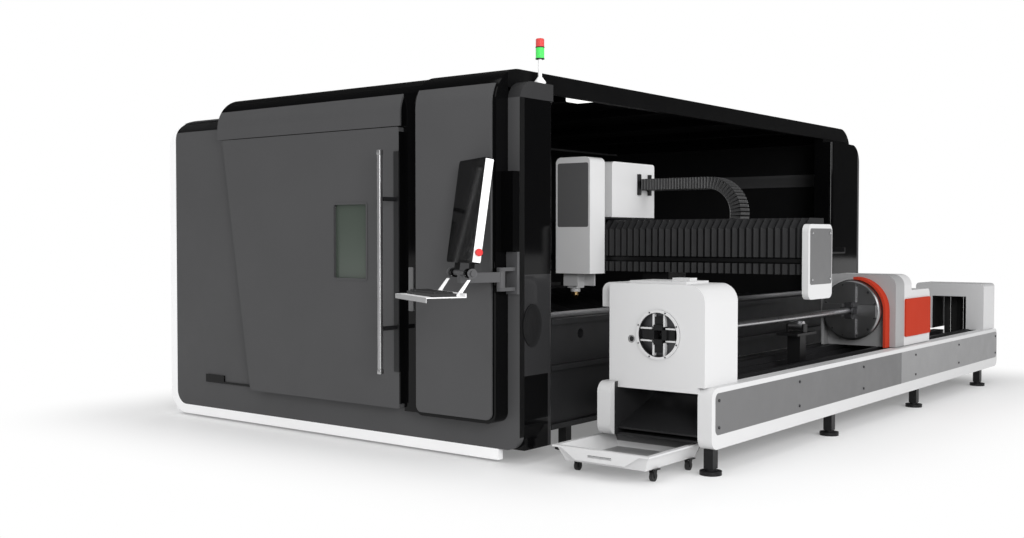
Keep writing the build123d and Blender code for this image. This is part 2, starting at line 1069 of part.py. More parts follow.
# Monitor: a white case with two tilt lugs, and a black screen let into its face
case_plane = console_plane(0, -monitor_thickness / 2, tilt_z, screen_tilt)
case_low = monitor_rise
case_high = monitor_rise + monitor_height
half_width = monitor_width / 2
with BuildPart() as monitor_case:
    slab(case_plane, -half_width, half_width, case_low, case_high, monitor_thickness, radius=monitor_corner)
    slab(
        case_plane.offset(monitor_thickness - screen_thickness),
        screen_border - half_width,
        half_width - screen_border,
        case_low + screen_border,
        case_high - screen_border,
        screen_thickness + overrun,
        mode=Mode.SUBTRACT,
    )
    for side in (-1, 1):
        lug_start = side * tilt_lug_offset - tilt_lug_width / 2
        lug_plane = Plane(
            origin=console_plane(lug_start, 0, tilt_z).origin,
            x_dir=console_face,
            z_dir=console_right,
        )
        disc(lug_plane, (0, 0), tilt_lug_radius, tilt_lug_width)
        slab(
            case_plane,
            lug_start,
            lug_start + tilt_lug_width,
            0,
            case_low + screen_border,
            monitor_thickness / 2,
        )
        disc(
            lug_plane.offset(-overrun),
            (0, 0),
            tilt_radius + seat_gap,
            tilt_lug_width + 2 * overrun,
            mode=Mode.SUBTRACT,
        )
    estop_plane = Plane(
        origin=case_plane.from_local_coords((half_width, case_low + estop_up, monitor_thickness / 2)),
        x_dir=case_plane.y_dir,
        z_dir=console_right,
    )
    disc(estop_plane, (0, 0), estop_collar_radius, estop_collar)
    disc(
        estop_plane.offset(estop_collar),
        (0, 0),
        estop_stem_radius + seat_gap,
        -estop_stem - estop_collar,
        mode=Mode.SUBTRACT,
    )
keep(monitor_case, "monitor_case")

with BuildPart() as monitor_screen:
    slab(
        case_plane.offset(monitor_thickness - screen_thickness),
        screen_border - half_width,
        half_width - screen_border,
        case_low + screen_border,
        case_high - screen_border,
        screen_thickness,
    )
keep(monitor_screen, "monitor_screen")

# Emergency stop: a mushroom head on a stem in the case's right edge
stem_depth = estop_stem - estop_travel - seat_gap
with BuildPart() as estop_button:
    disc(
        estop_plane.offset(-stem_depth),
        (0, 0),
        estop_stem_radius,
        stem_depth + estop_collar + estop_travel + seat_gap,
    )
    disc(estop_plane.offset(estop_collar + estop_travel + seat_gap), (0, 0), estop_radius, estop_head)
    fillet(
        estop_button.edges().filter_by(GeomType.CIRCLE).sort_by(Axis(estop_plane.origin, console_right))[-1],
        estop_head / 3,
    )
keep(estop_button, "estop_button")

# Keyboard tray on two arms that clamp the cross bar, and the keyboard that lies on it
tray_z = tilt_z - tray_drop
tray_half = tray_width / 2
tray_plane = Plane(
    origin=console_plane(0, 0, tray_z).origin,
    x_dir=console_right,
    z_dir=(0, 0, 1),
)
with BuildPart() as keyboard_tray:
    slab(tray_plane, -tray_half, tray_half, -tray_reach, -tray_forward, tray_sheet)
    slab(tray_plane, -tray_half, tray_half, -tray_reach, tray_sheet - tray_reach, -tray_lip)
    slab(tray_plane, -tray_half, tray_half, -tray_forward - tray_sheet, -tray_forward, tray_lip)
    for side in (-1, 1):
        clamp_start = side * tray_arm_offset - tray_arm_width / 2
        clamp_plane = Plane(
            origin=console_plane(clamp_start, 0, tilt_z).origin,
            x_dir=console_face,
            z_dir=console_right,
        )
        disc(clamp_plane, (0, 0), tilt_lug_radius, tray_arm_width)
        shape(
            clamp_plane,
            [
                (0, 0),
                (0, tray_arm_thickness),
                (tray_forward, tray_drop),
                (tray_forward + tray_lip, tray_drop),
                (tray_forward + tray_lip, tray_drop - tray_sheet),
            ],
            tray_arm_width,
        )
        disc(clamp_plane, (0, 0), tilt_radius, tray_arm_width, mode=Mode.SUBTRACT)
keep(keyboard_tray, "keyboard_tray")

key_half = keyboard_width / 2
key_back = -tray_forward - tray_lip - keyboard_back
with BuildPart() as keyboard:
    slab(
        tray_plane.offset(tray_sheet),
        -key_half,
        key_half,
        key_back - keyboard_depth,
        key_back,
        keyboard_height,
    )
    slab(
        tray_plane.offset(tray_sheet + keyboard_height),
        keyboard_key_inset - key_half,
        key_half - keyboard_key_inset,
        key_back - keyboard_depth + keyboard_key_inset,
        key_back - keyboard_key_inset,
        keyboard_key_step,
    )
keep(keyboard, "keyboard")

# Gantry beam: a box beam on two saddles, with the head's rail and the shelf for the cable chain
beam_left = bed_left
beam_right = gantry_right - end_cover_width
slot_middle = (slot_bottom + slot_top) / 2
rail_front = beam_front - beam_rail_depth
with BuildPart() as gantry_beam:
    block(beam_left, beam_right, beam_front, beam_back, beam_bottom, beam_top)
    slab(
        flank(beam_left - overrun),
        beam_front + beam_wall,
        beam_back - beam_wall,
        beam_bottom + beam_wall,
        beam_top - beam_wall,
        beam_right - beam_left + 2 * overrun,
        mode=Mode.SUBTRACT,
    )
    block(
        beam_left,
        beam_right,
        rail_front,
        beam_front,
        slot_middle - beam_rail_height / 2,
        slot_middle + beam_rail_height / 2,
    )
    for saddle_x in (left_rail_x, right_rail_x):
        block(
            saddle_x - saddle_width / 2,
            saddle_x + saddle_width / 2,
            beam_front + saddle_margin,
            beam_back - saddle_margin,
            rail_top + seat_gap,
            beam_bottom,
        )
    block(beam_left, beam_right, beam_back, beam_back + shelf_width, shelf_z, shelf_z + shelf_thickness)
    block(
        beam_left,
        beam_right,
        beam_back + shelf_width - shelf_thickness,
        beam_back + shelf_width,
        shelf_z,
        shelf_z + shelf_lip,
    )
keep(gantry_beam, "gantry_beam")

with BuildPart() as beam_end_cover:
    slab(
        flank(beam_right),
        gantry_front,
        gantry_back,
        end_cover_bottom,
        end_cover_top,
        end_cover_width,
        radius=end_cover_corner,
    )
    slab(
        flank(gantry_right - end_panel_depth),
        gantry_front + end_panel_border,
        gantry_back - end_panel_rear,
        end_cover_bottom + end_panel_foot,
        end_cover_top - end_panel_border,
        end_panel_depth + overrun,
        radius=end_cover_corner - end_panel_border,
        mode=Mode.SUBTRACT,
    )
keep(beam_end_cover, "beam_end_cover")

with BuildPart() as beam_end_panel:
    slab(
        flank(gantry_right - end_panel_depth),
        gantry_front + end_panel_border,
        gantry_back - end_panel_rear,
        end_cover_bottom + end_panel_foot,
        end_cover_top - end_panel_border,
        end_panel_depth,
        radius=end_cover_corner - end_panel_border,
    )
keep(beam_end_panel, "beam_end_panel")

# Way cover: pleated strips above and below the slot that the head's tongue runs in
pleat_pitch = (beam_right - beam_left) / (2 * bellows_pleats)
bellows_front = beam_front - bellows_proud
bellows_back = beam_back - bellows_back_margin


def pleats(ridge, valley, base):
    """Outline along the beam with a folded edge between two lines and a straight edge on a third."""
    points = [(beam_left, base)]
    for step in range(2 * bellows_pleats + 1):
        points.append((beam_left + step * pleat_pitch, valley if step % 2 else ridge))
    points.append((beam_right, base))
    return points


shoulder_spot = (ORIGIN_X, ORIGIN_Y + bellows_front, bellows_shoulder_z)
shoulder_plane = Plane(
    origin=shoulder_spot,
    x_dir=(1, 0, 0),
    z_dir=(0, bellows_shoulder_y, bellows_top - bellows_shoulder_z),
)
bellows_reach = bellows_back - bellows_front
with BuildPart() as beam_bellows:
    shape(
        level(slot_top),
        pleats(bellows_front, bellows_front + bellows_fold, bellows_back),
        bellows_top - slot_top,
    )
    shape(
        facing(bellows_back),
        pleats(bellows_top, bellows_top - bellows_fold, slot_top),
        bellows_reach,
        mode=Mode.INTERSECT,
    )
    shape(
        shoulder_plane.offset(-bellows_reach),
        pleats(0, bellows_fold, 2 * bellows_reach),
        2 * bellows_reach + overrun,
        mode=Mode.INTERSECT,
    )
    block(
        beam_left - overrun,
        beam_right + overrun,
        beam_front,
        bellows_back + overrun,
        slot_top - overrun,
        beam_top,
        mode=Mode.SUBTRACT,
    )
    shape(
        level(bellows_bottom),
        pleats(bellows_front, bellows_front + bellows_fold, beam_front),
        slot_bottom - bellows_bottom,
    )
keep(beam_bellows, "beam_bellows")

# Head carriage: a plate with a tongue in the slot, and a deck over the way cover
plate_front = head_back
plate_back = plate_front + carriage_plate
deck_bottom = bellows_top + carriage_tongue_margin
deck_top = deck_bottom + carriage_deck
with BuildPart() as head_carriage:
    block(head_left, head_right, plate_front, plate_back - carriage_tongue_margin, head_bottom, deck_top)
    block(
        head_left,
        head_right,
        plate_front,
        rail_front - seat_gap,
        slot_bottom + carriage_tongue_margin,
        slot_top - carriage_tongue_margin,
    )
    block(head_left, head_right, plate_front, chain_box_back, deck_bottom, deck_top)
keep(head_carriage, "head_carriage")

# Head cover: a hollow hood with rounded edges, open below and behind, and its dark inset panel
with BuildPart() as head_cover:
    block(head_left, head_right, head_front, head_back, head_bottom, head_top)
    fillet(head_cover.edges().filter_by(Axis.Y).group_by(Axis.Z)[-1], head_corner)
    block(
        head_left + head_wall,
        head_right - head_wall,
        head_front + head_wall + head_panel_depth,
        head_back + overrun,
        head_bottom - overrun,
        head_top - head_corner,
        mode=Mode.SUBTRACT,
    )
    slab(
        facing(head_front + head_panel_depth),
        head_left + head_panel_border,
        head_right - head_panel_border,
        head_panel_bottom,
        head_panel_top,
        head_panel_depth + overrun,
        radius=head_panel_border,
        mode=Mode.SUBTRACT,
    )
keep(head_cover, "head_cover")

with BuildPart() as head_panel:
    slab(
        facing(head_front + head_panel_depth),
        head_left + head_panel_border,
        head_right - head_panel_border,
        head_panel_bottom,
        head_panel_top,
        head_panel_depth,
        radius=head_panel_border,
    )
keep(head_panel, "head_panel")

# Chain box on the deck, and the cable chain that bends over behind the beam
with BuildPart() as chain_box:
    block(head_left, head_right, chain_box_front, chain_box_back, deck_top, chain_box_top)
    fillet(chain_box.edges().filter_by(Axis.X).group_by(Axis.Z)[-1], chain_box_corner)
keep(chain_box, "chain_box")

bend_x = head_right + chain_run
bend_z = chain_top - chain_bend_radius
bend_inner = chain_bend_radius - chain_link_height
chain_back = chain_y + chain_width / 2
link_middle = chain_bend_radius - chain_link_height / 2
run_links = int(chain_run / chain_pitch)
bend_links = int(pi * link_middle / chain_pitch)
with BuildPart() as cable_chain:
    with BuildSketch(facing(chain_back)) as run:
        with BuildLine():
            Line((head_right, chain_top), (bend_x, chain_top))
            ThreePointArc(
                (bend_x, chain_top),
                (bend_x + chain_bend_radius, bend_z),
                (bend_x, bend_z - chain_bend_radius),
            )
            Line((bend_x, bend_z - chain_bend_radius), (head_right, bend_z - chain_bend_radius))
            Line((head_right, bend_z - chain_bend_radius), (head_right, bend_z - bend_inner))
            Line((head_right, bend_z - bend_inner), (bend_x, bend_z - bend_inner))
            ThreePointArc(
                (bend_x, bend_z - bend_inner),
                (bend_x + bend_inner, bend_z),
                (bend_x, bend_z + bend_inner),
            )
            Line((bend_x, bend_z + bend_inner), (head_right, bend_z + bend_inner))
            Line((head_right, bend_z + bend_inner), (head_right, chain_top))
        make_face()
    extrude(amount=chain_width)
    for side_y, cut in ((chain_back, chain_groove_depth), (chain_back - chain_width, -chain_groove_depth)):
        with BuildSketch(facing(side_y)) as link_joints:
            for run_z in (bend_z + link_middle, bend_z - link_middle):
                for link in range(run_links):
                    with Locations((head_right + chain_pitch / 2 + link * chain_pitch, run_z)):
                        Rectangle(chain_groove, chain_link_height)
            with Locations((bend_x, bend_z)):
                with PolarLocations(link_middle, bend_links, start_angle=-90, angular_range=180):
                    Rectangle(chain_link_height, chain_groove)
        extrude(link_joints.sketch, amount=cut, mode=Mode.SUBTRACT)
keep(cable_chain, "cable_chain")

# Cutting head: a plate that slides on the carriage, the head's body and its nozzle
head_middle = (head_left + head_right) / 2
cutter_x = head_middle - cutter_shift
z_back = head_back - seat_gap
z_front = z_back - z_plate_thickness
cutter_front = z_front - cutter_depth
cutter_y = (cutter_front + z_front) / 2
nozzle_spot = (cutter_x, cutter_y)
with BuildPart() as cutting_head:
    block(
        head_middle - z_plate_width / 2,
        head_middle + z_plate_width / 2,
        z_front,
        z_back,
        cutter_bottom + cutter_face_drop,
        z_plate_top,
    )
    block(
        cutter_x - cutter_width / 2,
        cutter_x + cutter_width / 2,
        cutter_front,
        z_front,
        cutter_bottom + cutter_collar,
        cutter_top,
    )
    fillet(cutting_head.edges().filter_by(Axis.Z).group_by(Axis.Y)[0], cutter_collar / 2)
    disc(level(cutter_bottom), nozzle_spot, cutter_collar_radius, cutter_collar)
    block(
        cutter_x - cutter_face_width / 2,
        cutter_x + cutter_face_width / 2,
        cutter_front - z_plate_thickness,
        cutter_front,
        cutter_bottom + cutter_face_drop,
        cutter_top,
    )
keep(cutting_head, "cutting_head")

nozzle_plane = Plane(
    origin=(cutter_x + ORIGIN_X, cutter_y + ORIGIN_Y, 0),
    x_dir=(1, 0, 0),
    z_dir=(0, -1, 0),
)
with BuildPart() as nozzle:
    with BuildSketch(nozzle_plane):
        with BuildLine():
            Polyline(
                (0, nozzle_tip_z),
                (nozzle_tip_radius, nozzle_tip_z),
                (nozzle_radius, nozzle_tip_z + nozzle_tip_length),
                (nozzle_radius, cutter_bottom - nozzle_ring),
                (nozzle_ring_radius, cutter_bottom - nozzle_ring),
                (nozzle_ring_radius, cutter_bottom),
                (0, cutter_bottom),
                close=True,
            )
        make_face()
    revolve(axis=Axis((cutter_x + ORIGIN_X, cutter_y + ORIGIN_Y, 0), (0, 0, 1)))
keep(nozzle, "nozzle")

# Tube bed: two bearers with ways on top, a trough between them, ties to the cutting bed and a chute
bearer_left = rim_inner_right + bearer_inset
bearer_right = rim_outer_left - bearer_inset
bearer_front = chute_top_y + seat_gap
with BuildPart() as tube_bed_frame:
    block(
        rim_inner_right,
        rim_outer_left,
        tube_bed_front,
        tube_bed_back,
        bearer_bottom - trough_thickness,
        bearer_bottom,
    )
    for bearer_x in (bearer_left, bearer_right - bearer_width):
        block(
            bearer_x,
            bearer_x + bearer_width,
            bearer_front,
            tube_bed_back,
            bearer_bottom + seat_gap,
            bearer_top,
        )
        way_x = bearer_x + (bearer_width - way_width) / 2
        block(way_x, way_x + way_width, bearer_front, portal_front, bearer_top, bearer_top + way_height)
    shape(
        flank(rim_inner_right + seat_gap),
        [
            (tube_bed_front, chute_bottom_z),
            (chute_top_y, chute_top_z),
            (chute_top_y, chute_top_z - chute_thickness),
            (tube_bed_front, chute_bottom_z - chute_thickness),
        ],
        rim_outer_left - rim_inner_right - 2 * seat_gap,
    )
    sleeve_half = support_post_width / 2 + seat_gap
    sleeve_outer = sleeve_half + support_sleeve_wall
    block(
        tube_x - sleeve_outer,
        tube_x + sleeve_outer,
        support_y - sleeve_outer,
        support_y + sleeve_outer,
        bearer_bottom + seat_gap,
        support_sleeve_top,
    )
    block(
        tube_x - sleeve_half,
        tube_x + sleeve_half,
        support_y - sleeve_half,
        support_y + sleeve_half,
        bearer_bottom,
        support_sleeve_top,
        mode=Mode.SUBTRACT,
    )
    for tie in range(tie_count):
        tie_y = tie_first + tie * tie_pitch
        tie_left = bed_right - bed_waist
        block(tie_left, rim_inner_left, tie_y, tie_y + tie_width, tie_bottom, tie_bottom + tie_height)
keep(tube_bed_frame, "tube_bed_frame")

# White side rims of the tube bed, with a shallow recess for the grey panels on the outer one
with BuildPart() as side_rims:
    slab(
        flank(rim_inner_left),
        rim_inner_front,
        tube_bed_back,
        rim_inner_bottom,
        rim_top,
        rim_thickness,
        radius=rim_corner,
    )
    slab(
        flank(rim_outer_left),
        tube_bed_front,
        tube_bed_back,
        rim_bottom,
        rim_top,
        rim_thickness,
        radius=rim_corner,
    )
    slab(
        flank(rim_outer_right - rim_recess),
        tube_bed_front + rim_border,
        tube_bed_back - rim_border_back,
        rim_bottom + rim_border_bottom,
        rim_top - rim_border_top,
        rim_recess + overrun,
        radius=rim_edge,
        mode=Mode.SUBTRACT,
    )
keep(side_rims, "side_rims")

with BuildPart() as outer_side_panel:
    slab(
        flank(rim_outer_right - rim_recess),
        tube_bed_front + rim_border,
        tube_bed_back - rim_border_back,
        rim_bottom + rim_border_bottom,
        rim_top - rim_border_top,
        rim_recess,
        radius=rim_edge,
    )
    block(
        rim_outer_left,
        rim_outer_right + overrun,
        panel_seam_y,
        panel_seam_y + panel_seam,
        rim_bottom,
        rim_top,
        mode=Mode.SUBTRACT,
    )
keep(outer_side_panel, "outer_side_panel")

# Levelling feet under the outer rim and under the cutting bed
rim_middle_x = (rim_outer_left + rim_outer_right) / 2
bed_foot_pitch = (bed_back - bed_front - 2 * bed_foot_margin) / (bed_foot_count - 1)


def foot(x, y, top):
    """A round pad, a neck and a square post up to what stands on it."""
    disc(level(0), (x, y), foot_pad_radius, foot_pad_height)
    disc(level(foot_pad_height), (x, y), foot_neck_radius, foot_post_start - foot_pad_height)
    block(x - foot_post / 2, x + foot_post / 2, y - foot_post / 2, y + foot_post / 2, foot_post_start, top)


with BuildPart() as levelling_feet:
    for spot in range(tube_foot_count):
        foot(rim_middle_x, tube_foot_first + spot * tube_foot_pitch, rim_bottom)
    for spot in range(bed_foot_count):
        for foot_x in (left_rail_x, right_rail_x):
            foot(foot_x, bed_front + bed_foot_margin + spot * bed_foot_pitch, bed_bottom)
keep(levelling_feet, "levelling_feet")

# Front chuck housing with its bore, and the lid on top
with BuildPart() as front_chuck_housing:
    plate(
        facing(housing_back),
        housing_left,
        housing_right,
        rim_top + seat_gap,
        housing_top,
        housing_back - tube_bed_front,
        top_left=housing_left_corner,
        top_right=housing_corner,
    )
    block(
        rim_inner_right,
        rim_outer_left,
        tube_bed_front,
        housing_back,
        bearer_top,
        rim_top + seat_gap,
    )
    plate(
        facing(housing_back),
        shoulder_left,
        tube_x,
        shoulder_bottom,
        housing_top,
        housing_back - shoulder_front,
        top_left=shoulder_corner,
    )
    disc(
        facing(housing_back + overrun),
        chuck_centre,
        chuck_radius + seat_gap,
        housing_back - tube_bed_front + 2 * overrun,
        mode=Mode.SUBTRACT,
    )
    disc(facing(tube_bed_front), (port_x, port_z), port_radius, -port_depth, mode=Mode.SUBTRACT)
    block(lid_left, lid_right, lid_front, lid_back, housing_top, housing_top + lid_height)
    block(hatch_left, hatch_right, hatch_front, hatch_back, housing_top, housing_top + hatch_height)
keep(front_chuck_housing, "front_chuck_housing")

# Front chuck: a rotor with a ring at its mouth, and four stepped jaws round the tube
rotor_face = tube_bed_front + chuck_recess
with BuildPart() as front_chuck_rotor:
    rotor_length = housing_back - tube_bed_front
    disc(facing(housing_back), chuck_centre, chuck_radius, rotor_length, inner=chuck_bore_radius)
    disc(
        facing(rotor_face),
        chuck_centre,
        chuck_radius - chuck_ring_width,
        chuck_recess + overrun,
        mode=Mode.SUBTRACT,
    )
    disc(
        facing(tube_bed_front),
        chuck_centre,
        chuck_radius,
        chuck_ring_proud,
        inner=chuck_radius - chuck_ring_width,
    )
keep(front_chuck_rotor, "front_chuck_rotor")


def chuck_plane(y, quarter):
    """An upright plane on the tube's axis at depth y, turned by quarters, so that its x points outwards."""
    angle = radians(90 * quarter)
    spot = (tube_x + ORIGIN_X, y + ORIGIN_Y, tube_z)
    return Plane(origin=spot, x_dir=(cos(angle), 0, sin(angle)), z_dir=(0, -1, 0))


def jaws(back, width, depth, length, reach):
    """Four jaws round the tube that stand forward of a face, each with a lower step at its outer end."""
    for quarter in range(4):
        along = chuck_plane(back, quarter)
        slab(along, reach, reach + length, -width / 2, width / 2, depth - jaw_step)
        slab(along, reach, reach + jaw_step_length, -width / 2, width / 2, depth)


with BuildPart() as front_chuck_jaws:
    jaws(rotor_face, jaw_width, jaw_depth, jaw_length, tube_radius + seat_gap)
keep(front_chuck_jaws, "front_chuck_jaws")

# The tube being cut
with BuildPart() as tube:
    tube_length = disc_front - tube_front
    disc(facing(disc_front), chuck_centre, tube_radius, tube_length, inner=tube_radius - tube_wall)
keep(tube, "tube")

# Tube support: a post in a sleeve with two cheeks and a roller under the tube
roller_z = tube_z - tube_radius - seat_gap - support_roller_radius
cheek_gap = support_roller_length / 2 + seat_gap
with BuildPart() as tube_support_post:
    block(
        tube_x - support_post_width / 2,
        tube_x + support_post_width / 2,
        support_y - support_post_width / 2,
        support_y + support_post_width / 2,
        bearer_bottom + support_travel + support_post_margin,
        roller_z - support_roller_radius - support_plate - seat_gap,
    )
    block(
        tube_x - support_width / 2,
        tube_x + support_width / 2,
        support_front,
        support_back,
        roller_z - support_roller_radius - 2 * support_plate,
        roller_z - support_roller_radius - support_plate,
    )
    for side in (-1, 1):
        inner = tube_x + side * cheek_gap
        outer = inner + side * support_cheek
        block(
            min(inner, outer),
            max(inner, outer),
            support_y - support_roller_radius,
            support_y + support_roller_radius,
            roller_z - support_roller_radius - support_plate,
            roller_z + support_axle_radius,
        )
    disc(
        flank(tube_x - cheek_gap - support_cheek),
        (support_y, roller_z),
        support_axle_radius,
        2 * cheek_gap + 2 * support_cheek,
    )
keep(tube_support_post, "tube_support_post")

with BuildPart() as support_roller:
    disc(
        flank(tube_x - support_roller_length / 2),
        (support_y, roller_z),
        support_roller_radius,
        support_roller_length,
        inner=support_axle_radius + seat_gap,
    )
keep(support_roller, "support_roller")

# Rear chuck carriage: a stepped housing on the ways and a plate with rounded shoulders in front of it
carriage_bottom = bearer_top + way_height + seat_gap
plate_rear = rear_plate_front + rear_plate_thickness
with BuildPart() as rear_housing:
    block(
        rear_left,
        rear_right,
        plate_rear,
        rear_block_back,
        carriage_bottom,
        rear_top,
    )
    fillet(rear_housing.edges().filter_by(Axis.Y).group_by(Axis.Z)[-1], rear_corner)
    block(rear_left, rear_right, rear_block_back, rear_back, carriage_bottom, rear_low_top)
    fillet(rear_housing.edges().filter_by(Axis.X).group_by(Axis.Y)[-1].sort_by(Axis.Z)[-1], rear_corner / 2)
keep(rear_housing, "rear_housing")

with BuildPart() as rear_front_plate:
    plate(
        facing(plate_rear),
        rear_left,
        rear_right,
        carriage_bottom,
        rear_top,
        rear_plate_thickness,
        top_left=rear_corner,
        top_right=rear_corner,
    )
    disc(
        facing(plate_rear + overrun),
        chuck_centre,
        disc_hub_radius + seat_gap,
        rear_plate_thickness + 2 * overrun,
        mode=Mode.SUBTRACT,
    )
keep(rear_front_plate, "rear_front_plate")

# Red guards: an arch round the chuck disc and a panel on the housing's right side
with BuildPart() as red_guards:
    with BuildSketch(facing(rear_plate_front)) as arch:
        with Locations(chuck_centre):
            Circle(arch_outer)
        with Locations((tube_x, (tube_z + carriage_bottom) / 2)):
            Rectangle(2 * arch_outer, tube_z - carriage_bottom)
        with Locations(chuck_centre):
            Circle(arch_inner, mode=Mode.SUBTRACT)
        with Locations((tube_x, (tube_z + carriage_bottom) / 2)):
            Rectangle(2 * arch_inner, tube_z - carriage_bottom, mode=Mode.SUBTRACT)
        with Locations((tube_x, carriage_bottom - arch_outer / 2)):
            Rectangle(2 * arch_outer, arch_outer, mode=Mode.SUBTRACT)
    extrude(amount=rear_plate_front - arch_front)
    slab(
        flank(rear_right),
        red_panel_front,
        red_panel_back,
        red_panel_bottom,
        red_panel_top,
        red_panel_thickness,
        radius=red_panel_corner,
    )
keep(red_guards, "red_guards")

# Rear chuck: a disc with a hub in the plate's bore and raised cross guides, and four jaws
with BuildPart() as rear_chuck_disc:
    disc(facing(disc_front + disc_thickness), chuck_centre, disc_radius, disc_thickness)
    fillet(rear_chuck_disc.edges().group_by(Axis.Y)[0], disc_rim)
    hub_length = plate_rear - seat_gap - disc_front - disc_thickness
    disc(facing(plate_rear - seat_gap), chuck_centre, disc_hub_radius, hub_length)
    for quarter in range(4):
        guide = chuck_plane(disc_front, quarter)
        half_guide = disc_guide_width / 2
        slab(
            guide,
            half_guide + jaw_step,
            half_guide + disc_guide_length,
            -half_guide,
            half_guide,
            disc_guide_depth,
        )
keep(rear_chuck_disc, "rear_chuck_disc")

with BuildPart() as rear_chuck_jaws:
    jaws(disc_front, rear_jaw_width, rear_jaw_depth, half_guide + jaw_step - tube_radius, tube_radius)
keep(rear_chuck_jaws, "rear_chuck_jaws")

# End portal over the far end of the tube bed
with BuildPart() as end_portal:
    slab(
        facing(portal_back),
        portal_left,
        portal_right,
        rim_top,
        portal_top,
        portal_back - portal_front,
    )
    fillet(end_portal.edges().filter_by(Axis.Y).group_by(Axis.Z)[-1], portal_corner)
    slab(
        facing(portal_back + overrun),
        portal_left + portal_leg,
        portal_right - portal_leg,
        rim_top - overrun,
        portal_top - portal_head,
        portal_back - portal_front + 2 * overrun,
        mode=Mode.SUBTRACT,
    )
keep(end_portal, "end_portal")

# Scrap cart: a tapered tray with a rim and a front apron, on four casters
with BuildPart() as cart_tray:
    with BuildSketch(level(cart_top - cart_rim_height)) as mouth:
        with Locations(((cart_left + cart_right) / 2, (cart_front + cart_back) / 2)):
            Rectangle(cart_right - cart_left - 2 * cart_rim, cart_back - cart_front - 2 * cart_rim)
    with BuildSketch(level(cart_bottom)) as floor:
        with Locations(((cart_left + cart_right) / 2, (cart_front + cart_back) / 2)):
            Rectangle(
                cart_right - cart_left - 2 * cart_rim - 2 * cart_taper,
                cart_back - cart_front - 2 * cart_rim - 2 * cart_taper,
            )
    loft([floor.sketch, mouth.sketch], ruled=True)
    block(cart_left, cart_right, cart_front, cart_back, cart_top - cart_rim_height, cart_top)
    with BuildSketch(level(cart_top + cart_sheet)) as mouth_in:
        with Locations(((cart_left + cart_right) / 2, (cart_front + cart_back) / 2)):
            Rectangle(
                cart_right - cart_left - 2 * cart_rim - 2 * cart_sheet,
                cart_back - cart_front - 2 * cart_rim - 2 * cart_sheet,
            )
    with BuildSketch(level(cart_bottom + cart_sheet)) as floor_in:
        with Locations(((cart_left + cart_right) / 2, (cart_front + cart_back) / 2)):
            Rectangle(
                cart_right - cart_left - 2 * cart_rim - 2 * cart_taper - 2 * cart_sheet,
                cart_back - cart_front - 2 * cart_rim - 2 * cart_taper - 2 * cart_sheet,
            )
    loft([floor_in.sketch, mouth_in.sketch], ruled=True, mode=Mode.SUBTRACT)
    shape(
        facing(cart_front + apron_thickness),
        [
            (cart_left + apron_top_inset, cart_top - cart_rim_height),
            (cart_right - apron_top_inset, cart_top - cart_rim_height),
            (cart_right - apron_bottom_inset, cart_top - apron_drop),
            (cart_left + apron_bottom_inset, cart_top - apron_drop),
        ],
        apron_thickness,
    )
    grip_z = cart_top - apron_drop + 2 * grip_height
    slab(
        facing(cart_front + apron_thickness + overrun),
        (cart_left + cart_right - grip_width) / 2,
        (cart_left + cart_right + grip_width) / 2,
        grip_z - grip_height / 2,
        grip_z + grip_height / 2,
        apron_thickness + 2 * overrun,
        mode=Mode.SUBTRACT,
    )
keep(cart_tray, "cart_tray")

caster_left = cart_left + caster_inset_x
caster_right = cart_right - caster_inset_x
fork_gap = wheel_width / 2 + seat_gap
fork_half = fork_gap + caster_cheek
with BuildPart() as cart_casters:
    for caster_y in (caster_front_y, caster_rear_y):
        for caster_x in (caster_left, caster_right):
            block(
                caster_x - caster_plate / 2,
                caster_x + caster_plate / 2,
                caster_y - caster_plate / 2,
                caster_y + caster_plate / 2,
                cart_bottom - caster_plate_height,
                cart_bottom,
            )
            for side in (-1, 1):
                inner = caster_x + side * fork_gap
                outer = caster_x + side * fork_half
                shape(
                    flank(min(inner, outer)),
                    [
                        (caster_y - caster_fork_length / 2, cart_bottom - caster_plate_height),
                        (caster_y + caster_fork_length / 2, cart_bottom - caster_plate_height),
                        (caster_y + 2 * axle_radius, wheel_radius - 2 * axle_radius),
                        (caster_y - 2 * axle_radius, wheel_radius - 2 * axle_radius),
                    ],
                    caster_cheek,
                )
            disc(flank(caster_x - fork_half), (caster_y, wheel_radius), axle_radius, 2 * fork_half)
keep(cart_casters, "cart_casters")


def wheel_pair(y):
    """Two wheels on one line across the cart."""
    for x in (caster_left, caster_right):
        disc(
            flank(x - wheel_width / 2),
            (y, wheel_radius),
            wheel_radius,
            wheel_width,
            inner=axle_radius + seat_gap,
        )


with BuildPart() as cart_front_wheels:
    wheel_pair(caster_front_y)
keep(cart_front_wheels, "cart_front_wheels")

with BuildPart() as cart_rear_wheels:
    wheel_pair(caster_rear_y)
keep(cart_rear_wheels, "cart_rear_wheels")
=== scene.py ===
"""Looks of a laser cutting machine with an enclosed sheet bed and an open tube bed.

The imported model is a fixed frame. Its nodes keep their meshes and get finishes here, and the small
pieces that belong on them are modelled in place and ride on the same bodies. Lengths are metres.
"""

from __future__ import annotations

import itertools
import logging
import math
from collections.abc import Callable, Iterable, Iterator
from contextlib import contextmanager
from dataclasses import dataclass, field, replace
from enum import Enum

import bmesh
import bpy
from mathutils import Matrix, Vector

